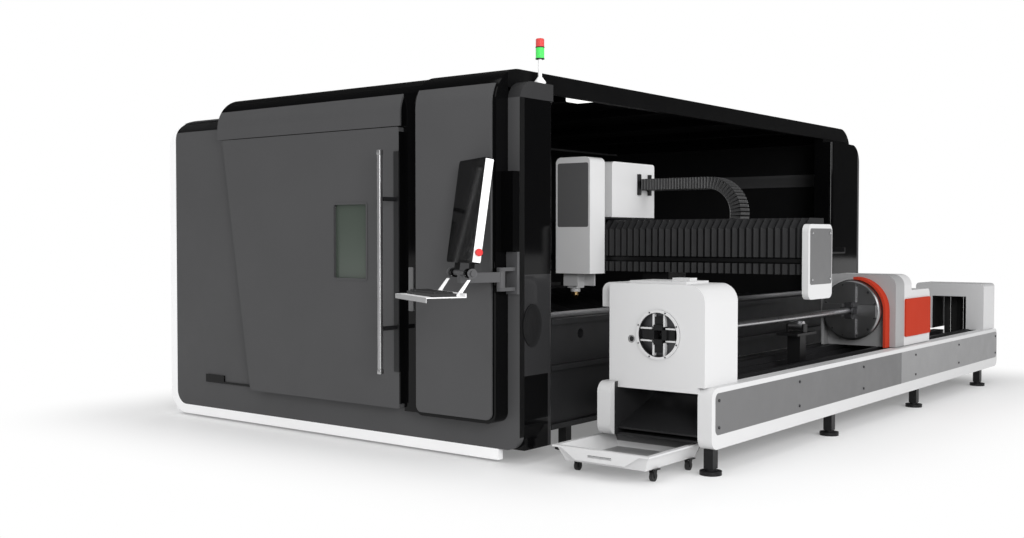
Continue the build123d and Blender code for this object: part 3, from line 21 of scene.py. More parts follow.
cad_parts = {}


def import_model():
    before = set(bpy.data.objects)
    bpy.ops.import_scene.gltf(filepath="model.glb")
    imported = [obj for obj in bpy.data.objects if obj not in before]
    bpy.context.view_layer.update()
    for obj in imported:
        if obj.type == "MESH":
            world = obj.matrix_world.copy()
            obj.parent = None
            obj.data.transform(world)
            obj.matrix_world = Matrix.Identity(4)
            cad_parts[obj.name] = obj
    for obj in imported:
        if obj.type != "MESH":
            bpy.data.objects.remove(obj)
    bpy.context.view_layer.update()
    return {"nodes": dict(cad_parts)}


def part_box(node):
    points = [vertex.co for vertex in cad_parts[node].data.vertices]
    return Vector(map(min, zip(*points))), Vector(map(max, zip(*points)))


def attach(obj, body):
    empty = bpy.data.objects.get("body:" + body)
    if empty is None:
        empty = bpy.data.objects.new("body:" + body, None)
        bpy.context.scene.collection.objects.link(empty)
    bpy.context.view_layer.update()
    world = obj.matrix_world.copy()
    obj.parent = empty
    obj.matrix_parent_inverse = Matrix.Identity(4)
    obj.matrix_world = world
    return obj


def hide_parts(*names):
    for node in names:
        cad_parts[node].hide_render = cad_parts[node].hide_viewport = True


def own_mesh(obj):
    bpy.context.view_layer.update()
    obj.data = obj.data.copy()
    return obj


LOG = logging.getLogger("laser_cutting_machine")

Colour = tuple[float, float, float]
Point = tuple[float, float, float]
Span = tuple[float, float]

FACING = 0.98
SMOOTH_ANGLE = math.radians(32.0)


class Axis(Enum):
    """The three directions of the frame."""

    X = 0
    Y = 1
    Z = 2

    def above(self, limit: float) -> Region:
        """The part of a piece that lies above a limit along this direction."""
        return Region(self, limit)

    def below(self, limit: float) -> Region:
        """The part of a piece that lies below a limit along this direction."""
        return Region(self, limit, above=False)

    def ends(self, face: bmesh.types.BMFace) -> bool:
        """Whether a face looks up or down this direction."""
        return abs(face.normal[self.value]) > FACING


class Way(Enum):
    """Where a face looks."""

    FRONT = (0.0, -1.0, 0.0)
    BACK = (0.0, 1.0, 0.0)
    LEFT = (-1.0, 0.0, 0.0)
    RIGHT = (1.0, 0.0, 0.0)
    TOP = (0.0, 0.0, 1.0)
    UNDER = (0.0, 0.0, -1.0)

    def seen(self, face: bmesh.types.BMFace) -> bool:
        """Whether a face looks this way."""
        return face.normal.dot(Vector(self.value)) > FACING


class Slot(Enum):
    """The record's material slots."""

    FRONT_GREY = "front_grey"
    GLOSS_BLACK = "gloss_black"
    WHITE_PAINT = "white_paint"
    PANEL_GREY = "panel_grey"
    FRAME_BLACK = "frame_black"
    RED_PAINT = "red_paint"
    STEEL = "steel"
    DARK_STEEL = "dark_steel"
    WINDOW_GREEN = "window_green"
    SCREEN_BLACK = "screen_black"
    BLACK_PLASTIC = "black_plastic"
    BELLOWS_GREY = "bellows_grey"
    LAMP_GREEN = "lamp_green"
    LAMP_RED = "lamp_red"
    RED_PLASTIC = "red_plastic"
    RUBBER = "rubber"
    BRASS = "brass"


class Value:
    """A number, colour or vector on its way through a material's nodes."""

    def __init__(self, graph: Graph, socket: bpy.types.NodeSocket) -> None:
        """Keep the socket and the graph that it belongs to."""
        self.graph = graph
        self.socket = socket

    def _math(self, operation: str, first: Value | float, second: Value | float = 0.0) -> Value:
        """Join two numbers by a Math node."""
        return self.graph.node("ShaderNodeMath", {"operation": operation}, {0: first, 1: second})

    def __add__(self, other: Value | float) -> Value:
        """This number plus another."""
        return self._math("ADD", self, other)

    def __radd__(self, other: float) -> Value:
        """Another number plus this one."""
        return self._math("ADD", other, self)

    def __sub__(self, other: Value | float) -> Value:
        """This number less another."""
        return self._math("SUBTRACT", self, other)

    def __rsub__(self, other: float) -> Value:
        """Another number less this one."""
        return self._math("SUBTRACT", other, self)

    def __mul__(self, other: Value | float) -> Value:
        """This number times another."""
        return self._math("MULTIPLY", self, other)

    def __rmul__(self, other: float) -> Value:
        """Another number times this one."""
        return self._math("MULTIPLY", other, self)

    def __gt__(self, other: Value | float) -> Value:
        """One where this number is the larger, else nought."""
        return self._math("GREATER_THAN", self, other)

    def __lt__(self, other: Value | float) -> Value:
        """One where this number is the smaller, else nought."""
        return self._math("LESS_THAN", self, other)

    def least(self, other: Value | float) -> Value:
        """The smaller of this number and another."""
        return self._math("MINIMUM", self, other)

    def sine(self) -> Value:
        """The sine of this number."""
        return self._math("SINE", self)


class Graph:
    """The nodes of one material or of the world."""

    def __init__(self, owner: bpy.types.Material | bpy.types.World) -> None:
        """Switch the nodes of a material or of the world on."""
        owner.use_nodes = True
        self.tree = owner.node_tree

    def node(
        self,
        kind: str,
        settings: dict[str, object] | None = None,
        sockets: dict[str | int, object] | None = None,
        output: str | int = 0,
    ) -> Value:
        """Add a node.

        Args:
            kind: The node's type.
            settings: Its own settings, which are set first.
            sockets: Values or links for its inputs.
            output: Which of its outputs is wanted.

        Returns:
            That output.
        """
        node = self.tree.nodes.new(kind)
        for key, setting in (settings or {}).items():
            setattr(node, key, setting)
        for key, value in (sockets or {}).items():
            self.feed(node.inputs[key], value)
        return Value(self, node.outputs[output])

    def feed(self, socket: bpy.types.NodeSocket, value: object) -> None:
        """Link a value to a socket, or set the socket to a plain number or colour.

        Args:
            socket: The input to feed.
            value: What it gets.
        """
        if isinstance(value, Value):
            self.tree.links.new(value.socket, socket)
        elif isinstance(value, tuple) and len(value) == 3 and socket.type == "RGBA":
            socket.default_value = (*value, 1.0)
        else:
            socket.default_value = value

    def shade(self, **values: object) -> None:
        """Feed the Principled shader's inputs, with underscores for the spaces in their names."""
        for key, value in values.items():
            self.feed(self.tree.nodes["Principled BSDF"].inputs[key.replace("_", " ")], value)

    def place(self) -> Value:
        """The point of the surface, in the frame."""
        return self.node("ShaderNodeTexCoord", output="Object")

    def along(self, axis: Axis) -> Value:
        """The point's distance along one direction."""
        return self.node("ShaderNodeSeparateXYZ", sockets={0: self.place()}, output=axis.value)

    def noise(self, scale: float, stretch: Point = (1.0, 1.0, 1.0), detail: float = 2.0) -> Value:
        """Soft noise from nought to one.

        Args:
            scale: How many spots there are in a metre.
            stretch: How much finer the spots are along each direction.
            detail: How many finer layers it has.

        Returns:
            The noise.
        """
        mapped = self.node("ShaderNodeMapping", sockets={"Vector": self.place(), "Scale": stretch})
        return self.node("ShaderNodeTexNoise", sockets={"Vector": mapped, "Scale": scale, "Detail": detail})

    def mix(self, factor: Value, first: object, second: object) -> Value:
        """A colour that is the first where the factor is nought, and the second where it is one."""
        return self.node("ShaderNodeMix", {"data_type": "RGBA"}, {0: factor, 6: first, 7: second}, output=2)

    def bump(self, height: Value, depth: float) -> Value:
        """A normal that follows a height, with the depth that a height of one has."""
        return self.node("ShaderNodeBump", sockets={"Height": height, "Distance": depth, "Strength": 1.0})


@dataclass(frozen=True)
class Region:
    """A part of a piece that lies beyond a limit along one direction.

    Args:
        axis: The direction.
        limit: Where the region starts.
        above: Whether it lies above the limit.
        turn: How far the X direction is turned round Z.
    """

    axis: Axis
    limit: float
    above: bool = True
    turn: float = 0.0

    def mask(self, graph: Graph) -> Value:
        """Mark the region.

        Args:
            graph: The material's nodes.

        Returns:
            One inside the region and nought outside.
        """
        spot = graph.along(self.axis)
        if self.turn:
            spot = spot * math.cos(self.turn) + graph.along(Axis.Y) * math.sin(self.turn)
        return spot > self.limit if self.above else spot < self.limit


@dataclass(frozen=True)
class Patch:
    """Another colour on a part of a piece.

    Args:
        colour: The colour.
        regions: The patch lies where all of these meet.
    """

    colour: Colour
    regions: tuple[Region, ...]

    def mask(self, graph: Graph) -> Value:
        """Mark the patch.

        Args:
            graph: The material's nodes.

        Returns:
            One inside the patch and nought outside.
        """
        mask = self.regions[0].mask(graph)
        for region in self.regions[1:]:
            mask = mask * region.mask(graph)
        return mask


@dataclass(frozen=True)
class Finish:
    """A surface with an even colour that varies a little.

    Args:
        name: The finish's name.
        slot: The record's slot that it belongs to; not used.
        colour: Its colour.
        roughness: Its roughness.
        shift: How much its colour varies.
    """

    name: str
    slot: Slot
    colour: Colour
    roughness: float = 0.5
    shift: float = 0.06

    def varied(self, graph: Graph, colour: Colour) -> Value:
        """The colour with soft patches.

        Args:
            graph: The material's nodes.
            colour: The plain colour.

        Returns:
            The varied colour.
        """
        darker = tuple(channel * (1.0 - self.shift) for channel in colour)
        lighter = tuple(min(channel * (1.0 + self.shift) + 0.001, 1.0) for channel in colour)
        return graph.mix(graph.noise(2.3, detail=4.0), darker, lighter)

    def paint(self, graph: Graph) -> None:
        """Feed the shader with the colour."""
        graph.shade(Base_Color=self.varied(graph, self.colour))

    def material(self) -> bpy.types.Material:
        """Make the finish's material, or find it when it has been made.

        Returns:
            The material.
        """
        material = bpy.data.materials.get(self.name)
        if material is None:
            material = bpy.data.materials.new(self.name)
            self.paint(Graph(material))
        return material


@dataclass(frozen=True)
class Paint(Finish):
    """Powder coat or gloss paint with a fine peel.

    Args:
        peel: How deep the peel is.
        peel_scale: How many grains there are in a metre.
        level: How strongly it mirrors.
        patches: Where it has other colours.
    """

    peel: float = 0.00012
    peel_scale: float = 700.0
    level: float = 0.5
    patches: tuple[Patch, ...] = ()

    def patched(self, name: str, *patches: Patch) -> Paint:
        """This paint under another name, with patches of other colours."""
        return replace(self, name=name, patches=patches)

    def paint(self, graph: Graph) -> None:
        """Feed the shader with this finish.

        Args:
            graph: The material's nodes.
        """
        colour = self.varied(graph, self.colour)
        for patch in self.patches:
            colour = graph.mix(patch.mask(graph), colour, self.varied(graph, patch.colour))
        rough = (graph.noise(9.0) * 0.4 + 0.8) * self.roughness
        normal = graph.bump(graph.noise(self.peel_scale), self.peel)
        graph.shade(Base_Color=colour, Roughness=rough, Normal=normal, Specular_IOR_Level=self.level)


@dataclass(frozen=True)
class Metal(Finish):
    """Bare metal with a grain along one direction.

    Args:
        grain: How fine the grain is along each direction.
        depth: How deep the grain is.
    """

    grain: Point = (1.0, 1.0, 30.0)
    depth: float = 0.00005

    def paint(self, graph: Graph) -> None:
        """Feed the shader with this finish.

        Args:
            graph: The material's nodes.
        """
        lines = graph.noise(60.0, stretch=self.grain, detail=3.0)
        stains = graph.noise(14.0, detail=3.0)
        rough = self.roughness + (lines - 0.5) * 0.16 + (stains - 0.5) * 0.1
        super().paint(graph)
        graph.shade(Roughness=rough, Metallic=1.0, Normal=graph.bump(lines, self.depth))


@dataclass(frozen=True)
class Moulded(Finish):
    """Plastic or rubber with a fine moulded grain.

    Args:
        grain: How deep the grain is.
        grain_scale: How many grains there are in a metre.
        level: How strongly it mirrors.
    """

    grain: float = 0.0001
    grain_scale: float = 1100.0
    level: float = 0.4

    def paint(self, graph: Graph) -> None:
        """Feed the shader with this finish.

        Args:
            graph: The material's nodes.
        """
        rough = self.roughness + (graph.noise(40.0) - 0.5) * 0.14
        normal = graph.bump(graph.noise(self.grain_scale), self.grain)
        super().paint(graph)
        graph.shade(Roughness=rough, Normal=normal, Specular_IOR_Level=self.level)


@dataclass(frozen=True)
class Cloth(Finish):
    """Coated cloth with a woven grain.

    Args:
        threads: How many threads there are in a metre.
        depth: How deep the weave is.
        level: How strongly it mirrors.
    """

    threads: float = 900.0
    depth: float = 0.00012
    level: float = 0.15

    def paint(self, graph: Graph) -> None:
        """Feed the shader with this finish.

        Args:
            graph: The material's nodes.
        """
        across = (graph.along(Axis.X) * (self.threads * math.tau)).sine()
        down = ((graph.along(Axis.Z) + graph.along(Axis.Y)) * (self.threads * math.tau)).sine()
        weave = across * down * 0.5 + 0.5
        rough = self.roughness + (graph.noise(12.0) - 0.5) * 0.12
        super().paint(graph)
        graph.shade(Roughness=rough, Normal=graph.bump(weave, self.depth), Specular_IOR_Level=self.level)


@dataclass(frozen=True)
class Glass(Finish):
    """Tinted glass.

    Args:
        clear: How much of what is behind it shows.
    """

    clear: float = 0.3

    def paint(self, graph: Graph) -> None:
        """Feed the shader with this finish.

        Args:
            graph: The material's nodes.
        """
        smears = graph.noise(6.0, detail=4.0)
        super().paint(graph)
        graph.shade(Roughness=self.roughness + smears * 0.08, Alpha=1.0 - self.clear * (0.8 + 0.4 * smears))


@dataclass(frozen=True)
class Lamp(Finish):
    """A translucent lamp with moulded ribs that glows a little.

    Args:
        glow: How brightly it glows.
        ribs: How many ribs there are in a metre of height.
        depth: How deep they are.
    """

    glow: float = 0.3
    ribs: float = 160.0
    depth: float = 0.0008

    def paint(self, graph: Graph) -> None:
        """Feed the shader with this finish.

        Args:
            graph: The material's nodes.
        """
        waves = (graph.along(Axis.Z) * (self.ribs * math.tau)).sine() * 0.5 + 0.5
        colour = self.varied(graph, self.colour)
        graph.shade(Base_Color=colour, Emission_Color=colour, Emission_Strength=self.glow)
        graph.shade(Roughness=self.roughness + waves * 0.1, Normal=graph.bump(waves, self.depth))


FRONT_GREY = Paint("front_grey_paint", Slot.FRONT_GREY, (0.067, 0.067, 0.069), 0.48, level=0.2)
GLOSS_BLACK = Paint(
    "gloss_black_paint", Slot.GLOSS_BLACK, (0.0018, 0.0018, 0.002), 0.05, level=0.14, peel=0.00001
)
ROOF_BLACK = replace(GLOSS_BLACK, name="roof_black_paint", roughness=0.4, level=0.1)
WHITE = Paint("cover_white", Slot.WHITE_PAINT, (0.58, 0.58, 0.584), 0.42, shift=0.02)
# A lighter copy of the white paint, as painted light for the head cover and the chain box in the shaded
# bay.
HEAD_WHITE_PAINTED_LIGHT = Paint("head_white_painted_light", Slot.WHITE_PAINT, (0.78, 0.78, 0.785), 0.42, shift=0.02)
# A lighter copy of the white paint, as painted light on the skirt, the left cover's foot, the tower stem
# and the console's white parts.
PAINTED_LIGHT_WHITE = Paint("painted_light_white_paint", Slot.WHITE_PAINT, (0.92, 0.92, 0.925), 0.42, shift=0.02)
PANEL_GREY = Paint("panel_grey_paint", Slot.PANEL_GREY, (0.128, 0.128, 0.13), 0.46, level=0.3)
BED_BLACK = Paint("bed_black_paint", Slot.FRAME_BLACK, (0.016, 0.016, 0.017), 0.42, level=0.22)
FRAME_BLACK = Paint("frame_black_paint", Slot.FRAME_BLACK, (0.008, 0.008, 0.0085), 0.4, level=0.22)
RED = Paint("guard_red", Slot.RED_PAINT, (0.415, 0.039, 0.019), 0.42, level=0.005)
STEEL = Metal("brushed_steel", Slot.STEEL, (0.53, 0.53, 0.54), 0.34)
TUBE_STEEL = Metal("drawn_steel", Slot.STEEL, (0.5, 0.5, 0.51), 0.3, grain=(30.0, 1.0, 30.0))
HANDLE_STEEL = Metal("handle_steel", Slot.STEEL, (0.46, 0.46, 0.465), 0.42)
DISC_STEEL = replace(STEEL, name="disc_steel", colour=(0.3, 0.3, 0.305))
DARK_STEEL = Metal("oiled_steel", Slot.DARK_STEEL, (0.1, 0.1, 0.105), 0.46)
GREEN_GLASS = Glass("laser_glass", Slot.WINDOW_GREEN, (0.068, 0.084, 0.07), 0.12, clear=0.12)
SCREEN = Moulded("screen_glass", Slot.SCREEN_BLACK, (0.002, 0.002, 0.0022), 0.08, grain=0.00001, level=0.15)
BLACK_PLASTIC = Moulded("moulded_black", Slot.BLACK_PLASTIC, (0.011, 0.011, 0.012), 0.5)
BELLOWS = Cloth("coated_cloth", Slot.BELLOWS_GREY, (0.016, 0.016, 0.017), 0.5)
GREEN_LAMP = Lamp("green_lamp", Slot.LAMP_GREEN, (0.06, 0.62, 0.1), 0.25, glow=0.25)
RED_LAMP = Lamp("red_lamp", Slot.LAMP_RED, (0.58, 0.05, 0.045), 0.25, glow=0.15)
RED_PLASTIC = Moulded("moulded_red", Slot.RED_PLASTIC, (0.6, 0.03, 0.03), 0.3)
CHAIN_GREY = Moulded("chain_plastic", Slot.BLACK_PLASTIC, (0.045, 0.045, 0.046), 0.42)
RUBBER = Moulded("moulded_rubber", Slot.RUBBER, (0.018, 0.018, 0.018), 0.7, grain=0.0002)
BRASS = Metal("turned_brass", Slot.BRASS, (0.62, 0.42, 0.2), 0.28, grain=(1.0, 1.0, 40.0))
ARM_GREY = Paint("arm_grey_paint", Slot.STEEL, (0.075, 0.075, 0.078), 0.45, level=0.25)
LIGHT_GREY = Paint("light_grey_paint", Slot.PANEL_GREY, (0.31, 0.31, 0.314), 0.46, level=0.3)
HEAD_GREY = Paint("head_grey_paint", Slot.PANEL_GREY, (0.5, 0.5, 0.505), 0.42)
WHITE_LIGHT = Lamp("white_light", Slot.WHITE_PAINT, (0.9, 0.9, 0.88), 0.4, glow=1.2, ribs=20.0)


def clear() -> None:
    """Leave edit mode and select nothing."""
    if bpy.context.mode != "OBJECT":
        bpy.ops.object.mode_set(mode="OBJECT")
    bpy.ops.object.select_all(action="DESELECT")


def shift(x: float = 0.0, y: float = 0.0, z: float = 0.0) -> Matrix:
    """A move along the three directions."""
    return Matrix.Translation((x, y, z))


def turned(centre: Point, angle: float) -> Matrix:
    """A turn round the front-to-back direction through a centre."""
    middle = shift(*centre)
    return middle @ Matrix.Rotation(angle, 4, "Y") @ middle.inverted()


def grid(step: Point, count: int, row_step: Point, rows: int) -> list[Matrix]:
    """The moves from a grid's first place to its other places.

    Args:
        step: The way from one place to the next.
        count: How many places there are in a row.
        row_step: The way from one row to the next.
        rows: How many rows there are.

    Returns:
        The moves.
    """
    places = itertools.product(range(count), range(rows))
    return [shift(*(Vector(step) * at + Vector(row_step) * row)) for at, row in places if at or row]


class Piece:
    """A small piece that is modelled in place and rides on a body."""

    def __init__(self, name: str) -> None:
        """Take the new primitive, and put its place into its mesh.

        Args:
            name: The piece's name.
        """
        self.shape = bpy.context.active_object
        self.shape.name = name
        self.shape.data.name = name
        bpy.ops.object.transform_apply(location=True, rotation=True, scale=True)

    @classmethod
    def block(cls, name: str, centre: Point, size: Point) -> Piece:
        """Add a box.

        Args:
            name: The piece's name.
            centre: Its middle.
            size: Its width, depth and height.

        Returns:
            The piece.
        """
        clear()
        bpy.ops.mesh.primitive_cube_add(size=1.0, location=centre, scale=size)
        return cls(name)

    @classmethod
    def between(cls, name: str, low: Point, high: Point) -> Piece:
        """Add a box between its lowest and its highest corner."""
        first, last = Vector(low), Vector(high)
        return cls.block(name, (first + last) / 2, last - first)

    @classmethod
    def barrel(
        cls, name: str, centre: Point, radius: float, length: float, axis: Axis, sides: int = 32
    ) -> Piece:
        """Add a round bar.

        Args:
            name: The piece's name.
            centre: Its middle.
            radius: Its radius.
            length: Its length.
            axis: The direction that it runs along.
            sides: How many sides it has.

        Returns:
            The piece.
        """
        clear()
        quarter = math.pi / 2
        turn = {Axis.X: (0.0, quarter, 0.0), Axis.Y: (quarter, 0.0, 0.0), Axis.Z: (0.0, 0.0, 0.0)}[axis]
        bpy.ops.mesh.primitive_cylinder_add(
            vertices=sides, radius=radius, depth=length, location=centre, rotation=turn
        )
        return cls(name)

    @classmethod
    def screw(cls, name: str, spot: Point, way: Way, radius: float) -> Piece:
        """Model a socket screw's head on a face.

        Args:
            name: The piece's name.
            spot: Where it sits.
            way: Where its head looks.
            radius: The head's radius.

        Returns:
            The piece.
        """
        rise = radius * 0.7
        head = cls.barrel(name, (0.0, 0.0, rise / 2), radius, rise, Axis.Z, sides=12)
        head.inset(Way.TOP, rim=radius * 0.2, rise=0.0)
        head.inset(Way.TOP, rim=radius * 0.25, rise=-rise * 0.6)
        turn = Vector(way.value).to_track_quat("Z", "Y").to_matrix().to_4x4()
        head.shape.data.transform(shift(*spot) @ turn)
        return head

    @contextmanager
    def editing(
        self,
        faces: Callable[[bmesh.types.BMFace], bool] | None = None,
        edges: Callable[[bmesh.types.BMEdge], bool] | None = None,
    ) -> Iterator[None]:
        """Edit the piece with some of its faces or edges selected.

        Args:
            faces: Which faces are selected.
            edges: Which edges are selected.

        Yields:
            Nothing, while the piece is in edit mode.
        """
        self.pick()
        bpy.ops.object.mode_set(mode="EDIT")
        bpy.ops.mesh.select_mode(type="FACE" if faces else "EDGE")
        bpy.ops.mesh.select_all(action="DESELECT")
        mesh = bmesh.from_edit_mesh(self.shape.data)
        for part in mesh.faces if faces else mesh.edges:
            part.select_set(faces(part) if faces else edges(part))
        mesh.select_flush_mode()
        bmesh.update_edit_mesh(self.shape.data)
        yield
        bpy.ops.object.mode_set(mode="OBJECT")

    def pick(self, *others: bpy.types.Object) -> None:
        """Select the piece and make it the active one.

        Args:
            others: What else is selected.
        """
        clear()
        for shape in (*others, self.shape):
            shape.select_set(True)
        bpy.context.view_layer.objects.active = self.shape

    def soften(self, width: float, segments: int = 2) -> Piece:
        """Round the sharp edges.

        Args:
            width: How far the round goes.
            segments: How many faces it has.

        Returns:
            The piece.
        """
        sharp = 0.6
        with self.editing(edges=lambda edge: edge.calc_face_angle(0.0) > sharp):
            bpy.ops.mesh.bevel(offset=width, segments=segments, affect="EDGES")
        return self

    def round_corners(self, axis: Axis, radius: float) -> Piece:
        """Round the edges that run along one direction.

        Args:
            axis: The direction.
            radius: The radius.

        Returns:
            The piece.
        """

        def runs_along(edge: bmesh.types.BMEdge) -> bool:
            """Whether an edge runs along the direction."""
            way = edge.verts[1].co - edge.verts[0].co
            return abs(way.normalized()[axis.value]) > FACING

        with self.editing(edges=runs_along):
            bpy.ops.mesh.bevel(offset=radius, segments=5, affect="EDGES")
        return self

    def inset(self, way: Way, rim: float, rise: float) -> Piece:
        """Inset the faces that look one way, and sink or raise them.

        Args:
            way: Where the faces look.
            rim: How far in the new edge lies.
            rise: How far the face rises.

        Returns:
            The piece.
        """
        with self.editing(faces=way.seen):
            bpy.ops.mesh.inset(thickness=rim, depth=rise)
        return self

    def taper(self, way: Way, scale: Point, drop: float = 0.0) -> Piece:
        """Make the face that looks one way smaller.

        Args:
            way: Where the face looks.
            scale: How large it becomes along each direction.
            drop: How far it is lowered.

        Returns:
            The piece.
        """
        with self.editing(faces=way.seen):
            bpy.ops.transform.resize(value=scale)
            bpy.ops.transform.translate(value=(0.0, 0.0, -drop))
        return self

    def open_through(self, axis: Axis, margin: float) -> Piece:
        """Cut an opening along one direction.

        Args:
            axis: The direction.
            margin: How much is left round the opening.

        Returns:
            The piece.
        """
        with self.editing(faces=axis.ends):
            bpy.ops.mesh.inset(thickness=margin, depth=0.0)
            bpy.ops.mesh.bridge_edge_loops()
        return self

    def repeat(self, moves: Iterable[Matrix]) -> Piece:
        """Copy the piece to further places and join the copies to it.

        Args:
            moves: How each copy is moved.

        Returns:
            The piece with its copies.
        """
        twins = []
        for move in moves:
            twin = self.shape.copy()
            twin.data = self.shape.data.copy()
            twin.data.transform(move)
            bpy.context.scene.collection.objects.link(twin)
            twins.append(twin)
        self.pick(*twins)
        bpy.ops.object.join()
        return self

    def ride(self, body: str, finish: Finish) -> None:
        """Give the piece its finish and let it ride on a body.

        Args:
            body: The body's name.
            finish: The finish.
        """
        self.pick()
        bpy.ops.object.shade_smooth_by_angle(angle=SMOOTH_ANGLE)
        piece = self.shape
        piece.data.materials.clear()
        piece.data.materials.append(finish.material())
        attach(piece, body)
        LOG.info("piece %s rides on %s", piece.name, body)


def edge_screws(name: str, node: str, radius: float, inset: float, count: int) -> Piece:
    """Screws along the upper and the lower edge of a panel that looks to the right.

    Args:
        name: The piece's name.
        node: The panel's name.
        radius: The radius of a screw's head.
        inset: How far the screws lie from the panel's edges.
        count: How many there are along an edge.

    Returns:
        The screws.
    """
    low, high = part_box(node)
    pitch = (high.y - low.y - 2 * inset) / (count - 1)
    tall = high.z - low.z - 2 * inset
    head = Piece.screw(name, (high.x, low.y + inset, low.z + inset), Way.RIGHT, radius)
    return head.repeat(grid((0.0, pitch, 0.0), count, (0.0, 0.0, tall), 2))


@dataclass
class SubAssembly:
    """A group of nodes with the pieces that are modelled on them.

    Args:
        nodes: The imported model's nodes.
        finishes: The finish of each node of this group.
    """

    nodes: dict[str, bpy.types.Object]
    finishes: dict[str, Finish] = field(default_factory=dict)

    def dress(self) -> None:
        """Give this group's nodes their finishes."""
        for name, finish in self.finishes.items():
            node = self.nodes[name]
            node.data.materials.clear()
            node.data.materials.append(finish.material())
            LOG.info("node %s is %s", name, finish.name)

    def build(self) -> None:
        """Model this group's pieces."""


@dataclass
class Enclosure(SubAssembly):
    """The covers round the cutting bed, with the bed inside and the signal tower on top.

    Args:
        band_bottom: Where the black band along the low roof's front starts.
        cap_bottom: Where the grey cap on the front column starts.
        cap_depth: How far it reaches in from the right side.
        cap_grey: Its colour.
        column_band: Between which heights the front column is grey.
        column_grey: The colour it has there.
        column_strip: The width of the grey strip that runs on down its rear edge.
        port_centre: Where the oval port on that column lies along the machine, and how high.
        port_size: The port's breadth and height.
        lamp_spot: How far the work lamp is from the columns' right, their front and the roof's top.
        lamp_size: The lamp's width, depth and height.
        cover_sheet: How far in from the left cover's outside its dark inside starts.
        foot_height: The height of the white foot of the left cover.
        rail_size: The depth and height of the rail on the back wall's inside.
        rail_height: The height of that rail's middle.
        rail_inset: How far it ends from the wall's ends.
        lock_spot: How far the lock's middle is from the strip's edge, how deep it sits, and how high.
        lock_size: The lock's width, depth and height.
        louvre_rows: How many louvres each vent has.
        louvre_size: A louvre's width, depth and height.
        vent_bottom: How high the lowest louvre is.
        vent_pitch: How far the vents are apart on the back wall and on the left wall.
        screw_radius: The radius of the cover screws.
        screw_grid: How many screws there are along the back wall, and how many rows.
        screw_edge: How far they are from the wall's ends and from the floor.
        screw_rise: How far the rows are apart.
    """

    band_bottom: float = 2.02
    cap_bottom: float = 2.05
    cap_depth: float = 0.16
    cap_grey: Colour = (0.028, 0.028, 0.029)
    column_band: Span = (0.5, 1.067)
    column_grey: Colour = (0.024, 0.024, 0.025)
    column_strip: float = 0.05
    port_centre: Span = (-2.35, 0.781)
    port_size: Span = (0.17, 0.24)
    lamp_spot: Point = (0.15, 0.81, 0.045)
    lamp_size: Point = (0.15, 0.13, 0.055)
    cover_sheet: float = 0.016
    foot_height: float = 0.17
    rail_size: Span = (0.03, 0.11)
    rail_height: float = 1.785
    rail_inset: float = 0.06
    lock_spot: Point = (0.07, 0.04, 0.97)
    lock_size: Point = (0.04, 0.03, 0.26)
    louvre_rows: int = 9
    louvre_size: Point = (0.5, 0.008, 0.03)
    vent_bottom: float = 0.35
    vent_pitch: Span = (0.95, 1.3)
    screw_radius: float = 0.006
    screw_grid: tuple[int, int] = (5, 4)
    screw_edge: Span = (0.05, 0.2)
    screw_rise: float = 0.55

    def __post_init__(self) -> None:
        """Choose the finishes."""
        edge, skin = 0.003, 0.004
        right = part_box("front_frame")[1].x
        low_roof = (Axis.X.below(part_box("roof_cover")[0].x), Axis.Z.above(self.band_bottom))
        right_side = (Axis.X.above(right - edge), Axis.Z.below(self.cap_bottom))
        cap = (Axis.X.above(right - self.cap_depth), Axis.Z.above(self.cap_bottom))
        banded = FRONT_GREY.patched(
            "banded_grey_paint",
            Patch(GLOSS_BLACK.colour, low_roof),
            Patch(GLOSS_BLACK.colour, right_side),
            Patch(self.cap_grey, cap),
        )
        inner_back = Axis.Y.below(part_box("back_wall")[0].y + skin)
        wall = FRONT_GREY.patched("wall_paint", Patch(FRAME_BLACK.colour, (inner_back,)))
        low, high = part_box("left_cover")
        inside = (Axis.X.above(low.x + self.cover_sheet), Axis.Z.below(high.z - self.cover_sheet))
        foot = Axis.Z.below(low.z + self.foot_height)
        cover = FRONT_GREY.patched(
            "cover_paint", Patch(FRAME_BLACK.colour, inside), Patch(PAINTED_LIGHT_WHITE.colour, (foot,))
        )
        bottom, top = self.column_band
        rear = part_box("bed_frame")[0].y
        band = (Axis.Y.below(0.0), Axis.Z.above(bottom), Axis.Z.below(top))
        strip = (Axis.Y.below(rear), Axis.Y.above(rear - self.column_strip), Axis.Z.below(top))
        columns = GLOSS_BLACK.patched(
            "column_paint", Patch(self.column_grey, band), Patch(self.column_grey, strip)
        )
        self.finishes = {
            "bed_frame": BED_BLACK,
            "guide_rails": STEEL,
            "slat_table": DARK_STEEL,
            "front_frame": banded,
            # The skirt and the tower stem get the lighter white, as painted light.
            "front_skirt": PAINTED_LIGHT_WHITE,
            "left_cover": cover,
            "back_wall": wall,
            "roof_cover": ROOF_BLACK,
            "side_columns": columns,
            "door_track": GLOSS_BLACK,
            "door_header": GLOSS_BLACK,
            "door_header_panel": FRONT_GREY,
            "right_cover_body": GLOSS_BLACK,
            "right_cover_panel": FRONT_GREY,
            "tower_stem": PAINTED_LIGHT_WHITE,
            "tower_green": GREEN_LAMP,
            "tower_red": RED_LAMP,
        }

    def build(self) -> None:
        """Model the pieces on the covers."""
        self.recess_lock()
        self.wall_rail()
        self.tower_rings()
        self.bay_lamp()
        self.column_port()
        self.vents()
        self.back_screws()

